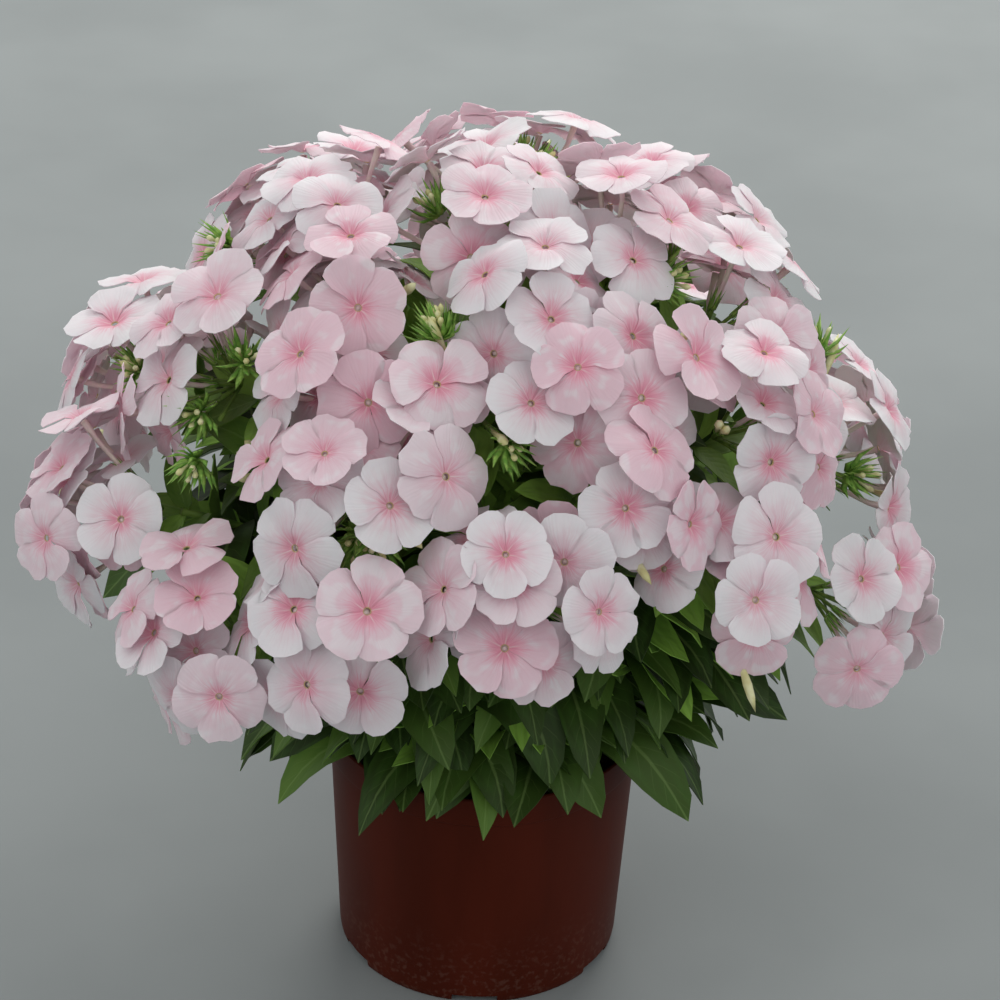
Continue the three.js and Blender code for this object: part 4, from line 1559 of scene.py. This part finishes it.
body = bmesh.new()
spun(body, pot_section(), POT_STEPS)
blank, tool = as_object("pot_blank", body), as_object("pot_cutters", cutters())
cut = blank.modifiers.new("cut", "BOOLEAN")
cut.object, cut.operation, cut.solver = tool, "DIFFERENCE", "EXACT"
bpy.context.view_layer.update()
evaluated = blank.evaluated_get(bpy.context.evaluated_depsgraph_get())
pot = bmesh.new()
pot.from_mesh(bpy.data.meshes.new_from_object(evaluated))
bmesh.ops.translate(pot, verts=pot.verts, vec=POT_FOOT)
for edge in pot.edges:
    edge.smooth = edge.calc_face_angle(math.pi) < POT_CREASE
for thing in (blank, tool):
    bpy.data.objects.remove(thing)
print("pot:", len(pot.faces), "faces")

# %% [markdown]
# Moulded polypropylene is a soft plastic with a satin skin. Its colour runs a little uneven where it
# flowed into the mould, and splashes of water leave a thin bloom of lime and dust low on the wall.

# %% The pot's finish
def pot_material():
    material, tree, shader = new_material("moulded_polypropylene", {
        "Roughness": 0.5, "IOR": 1.49, "Specular IOR Level": 0.1,
    })
    place = add(tree, "TexCoord", {}, "Object")
    height = add(tree, "SeparateXYZ", {0: place}, "Z")
    flow = add(tree, "Mapping", {"Vector": place, "Scale": (1.0, 1.0, 0.25)})
    cloud = add(tree, "TexNoise", {"Vector": flow, "Scale": 1 / (30 * MM), "Detail": 4.0})
    speck = add(tree, "TexNoise", {"Vector": place, "Scale": 1 / (2.5 * MM), "Detail": 2.0})
    base = pigment(tree, "#46170a", "#511c0e", 1.0, (cloud, 0.3, 0.7))
    base = pigment(tree, base, "#8f7466", 0.15, (speck, 0.5, 0.7), (height, 45 * MM, 0.0))
    rough = add(tree, "Math", {0: cloud, 1: 0.2, 2: 0.4}, operation="MULTIPLY_ADD")
    tree.links.new(rough, shader.inputs["Roughness"])
    skin_relief(tree, shader, base, speck, 0.12, 0.1 * MM)
    return material


new_piece("nursery_pot", pot, (pot_material(),), "pot", "pot")
print("the pot stands", round(POT_HEIGHT / MM, 1), "mm high")

# %% [markdown]
# ## The soil
#
# Potting soil is crumbly peat. A flat disc would show its evenness between the leaves, so the
# top is spun with many rings and then each point is lifted or sunk by layered noise of crumb size.

# %% Spin and crumble the soil
SOIL_GAP = 0.4 * MM
SOIL_RINGS = 22
CRUMB = 7 * MM


def wall_inside(z):
    """The radius of the pot's inner wall at a height."""
    low, high = FOOT_HEIGHT + 4 * MM, POT_HEIGHT - POT_BAND - 1 * MM
    share = (z - low) / (high - low)
    return lerp(POT_FOOT_RADIUS - POT_WALL, POT_RIM - POT_STEP - POT_WALL, share)


soil_edge = SOIL_TOP - 3 * MM
edge_radius = wall_inside(soil_edge) - SOIL_GAP
top = [
    (edge_radius * (1 - i / SOIL_RINGS), lerp(soil_edge, SOIL_TOP, smooth(0, 0.4, i / SOIL_RINGS)))
    for i in range(SOIL_RINGS + 1)
]
floor_z = FOOT_HEIGHT + POT_WALL + SOIL_GAP
low_radius = POT_FOOT_RADIUS - POT_WALL - SOIL_GAP
foot_corner = (low_radius - 2.5 * MM, floor_z)
soil = bmesh.new()
spun(soil, [(0, floor_z), foot_corner, (low_radius, FOOT_HEIGHT + 4 * MM), *top], POT_STEPS)
for vert in soil.verts:
    if vert.co.z > soil_edge - 0.1 * MM:
        inside = smooth(0, 4 * MM, edge_radius - vert.co.xy.length)
        lift = noise.noise(vert.co / CRUMB) + 0.6 * noise.noise(vert.co / (0.4 * CRUMB))
        vert.co.z += 1.6 * MM * lift * inside - 0.6 * MM * inside
bmesh.ops.translate(soil, verts=soil.verts, vec=POT_FOOT)
print("soil:", len(soil.faces), "faces")

# %% [markdown]
# Moist peat is almost black, fibrous and quite matt, with lighter crumbs where it has dried. The
# fibres are about 4 mm long and the crumbs 3 mm.

# %% The soil's finish
def soil_material():
    material, tree, shader = new_material("moist_peat", {"Roughness": 0.95, "IOR": 1.35})
    place = add(tree, "TexCoord", {}, "Object")
    crumb = add(tree, "TexVoronoi", {"Vector": place, "Scale": 1 / (3 * MM)})
    fibre = add(tree, "TexNoise", {"Vector": place, "Scale": 1 / (4 * MM), "Detail": 6.0})
    base = pigment(tree, "#18110c", "#3a2a1c", 1.0, (fibre, 0.35, 0.7))
    base = pigment(tree, base, "#241a12", 1.0, (crumb, 0.6, 0.2))
    skin_relief(tree, shader, base, fibre, 0.8, 1 * MM)
    return material


new_piece("potting_soil", soil, (soil_material(),), "soil", "soil")
print("soil top at", round(SOIL_TOP / MM, 1), "mm")

# %% [markdown]
# ## Floor, light and camera
#
# The plant stands on a plain pale floor in the soft light of an overcast day: a bright dome of sky
# from all sides, and two broad lamps, one above the plant and one over the floor behind it.

# %% Floor and light
def floor_material():
    material, tree, shader = new_material("trowelled_concrete", {"Roughness": 0.9})
    place = add(tree, "TexCoord", {}, "Object")
    cloud = add(tree, "TexNoise", {"Vector": place, "Scale": 1 / (250 * MM), "Detail": 4.0})
    base = pigment(tree, "#868b8c", "#909596", 1.0, (cloud, 0.3, 0.7))
    tree.links.new(base, shader.inputs["Base Color"])
    return material


ground = bmesh.new()
bmesh.ops.create_grid(ground, x_segments=1, y_segments=1, size=6)
floor = as_object("floor", ground)
floor.data.materials.append(floor_material())
floor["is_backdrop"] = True

world = bpy.data.worlds.new("overcast_sky")
world.use_nodes = True
world.node_tree.nodes["Background"].inputs["Color"].default_value = paint("#f3f5f4")
world.node_tree.nodes["Background"].inputs["Strength"].default_value = 0.79
bpy.context.scene.world = world


def soft_light(name, place, aim, size, watts, colour):
    data = bpy.data.lights.new(name, "AREA")
    data.shape, data.size, data.energy = "DISK", size, watts
    data.color = paint(colour)[:3]
    lamp = bpy.data.objects.new(name, data)
    lamp.location = place
    lamp.rotation_euler = (Vector(aim) - Vector(place)).to_track_quat("-Z", "Y").to_euler()
    bpy.context.scene.collection.objects.link(lamp)


soft_light("far_light", (0.4, 2.2, 1.7), (0.1, 1.1, 0), 1.6, 36, "#fffdf8")
soft_light("sky_light", (-0.3, -0.7, 2.4), (0, 0, 0.2), 2.6, 4.5, "#fffdfa")
print("light: sky and two broad lamps")

# %% [markdown]
# The camera looks down on the plant at thirty degrees from about a metre and a half away, through a
# long lens, so the dome isn't stretched. It is rolled by two degrees, as one held in the hand is.

# %% The camera
CAMERA_PLACE = POT_FOOT + Vector((0, -1.16555, 0.88356))
PITCH, YAW, ROLL = (math.radians(a) for a in (29.994, 0.1786, 2.0))
# The lens's focal length, in pixels of a picture that is so many pixels wide.
LENS_PIXELS = 3317.5
PICTURE_PIXELS = 1000

forward = Vector((math.sin(YAW) * math.cos(PITCH), math.cos(YAW) * math.cos(PITCH), -math.sin(PITCH)))
level = Vector((math.cos(YAW), -math.sin(YAW), 0))
upward = level.cross(forward)
right = level * math.cos(ROLL) + upward * math.sin(ROLL)
above = upward * math.cos(ROLL) - level * math.sin(ROLL)
camera_data = bpy.data.cameras.new("camera")
camera_data.sensor_width = 36
camera_data.lens = camera_data.sensor_width * LENS_PIXELS / PICTURE_PIXELS
camera_data.clip_start = 0.05
camera = bpy.data.objects.new("camera", camera_data)
turned = Matrix((right, above, -forward)).transposed().to_4x4()
camera.matrix_world = Matrix.Translation(CAMERA_PLACE) @ turned
bpy.context.scene.collection.objects.link(camera)
bpy.context.scene.camera = camera
bpy.context.scene.view_settings.view_transform = "Standard"
print("camera:", round(camera_data.lens, 1), "mm lens")

# %% [markdown]
# ## Finish
#
# Both boxes, the frame's and the dressed plant's, are the cell's result. The dressed plant has to
# stay within the frame's box.

# %% Count the faces and give both boxes
faces = sum(len(o.data.polygons) for o in bpy.context.scene.objects if o.type == "MESH")
print("faces in all:", faces)
boxes = {"cad": cad_box, "visual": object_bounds()}
{name: [list(corner) for corner in box] for name, box in boxes.items()}
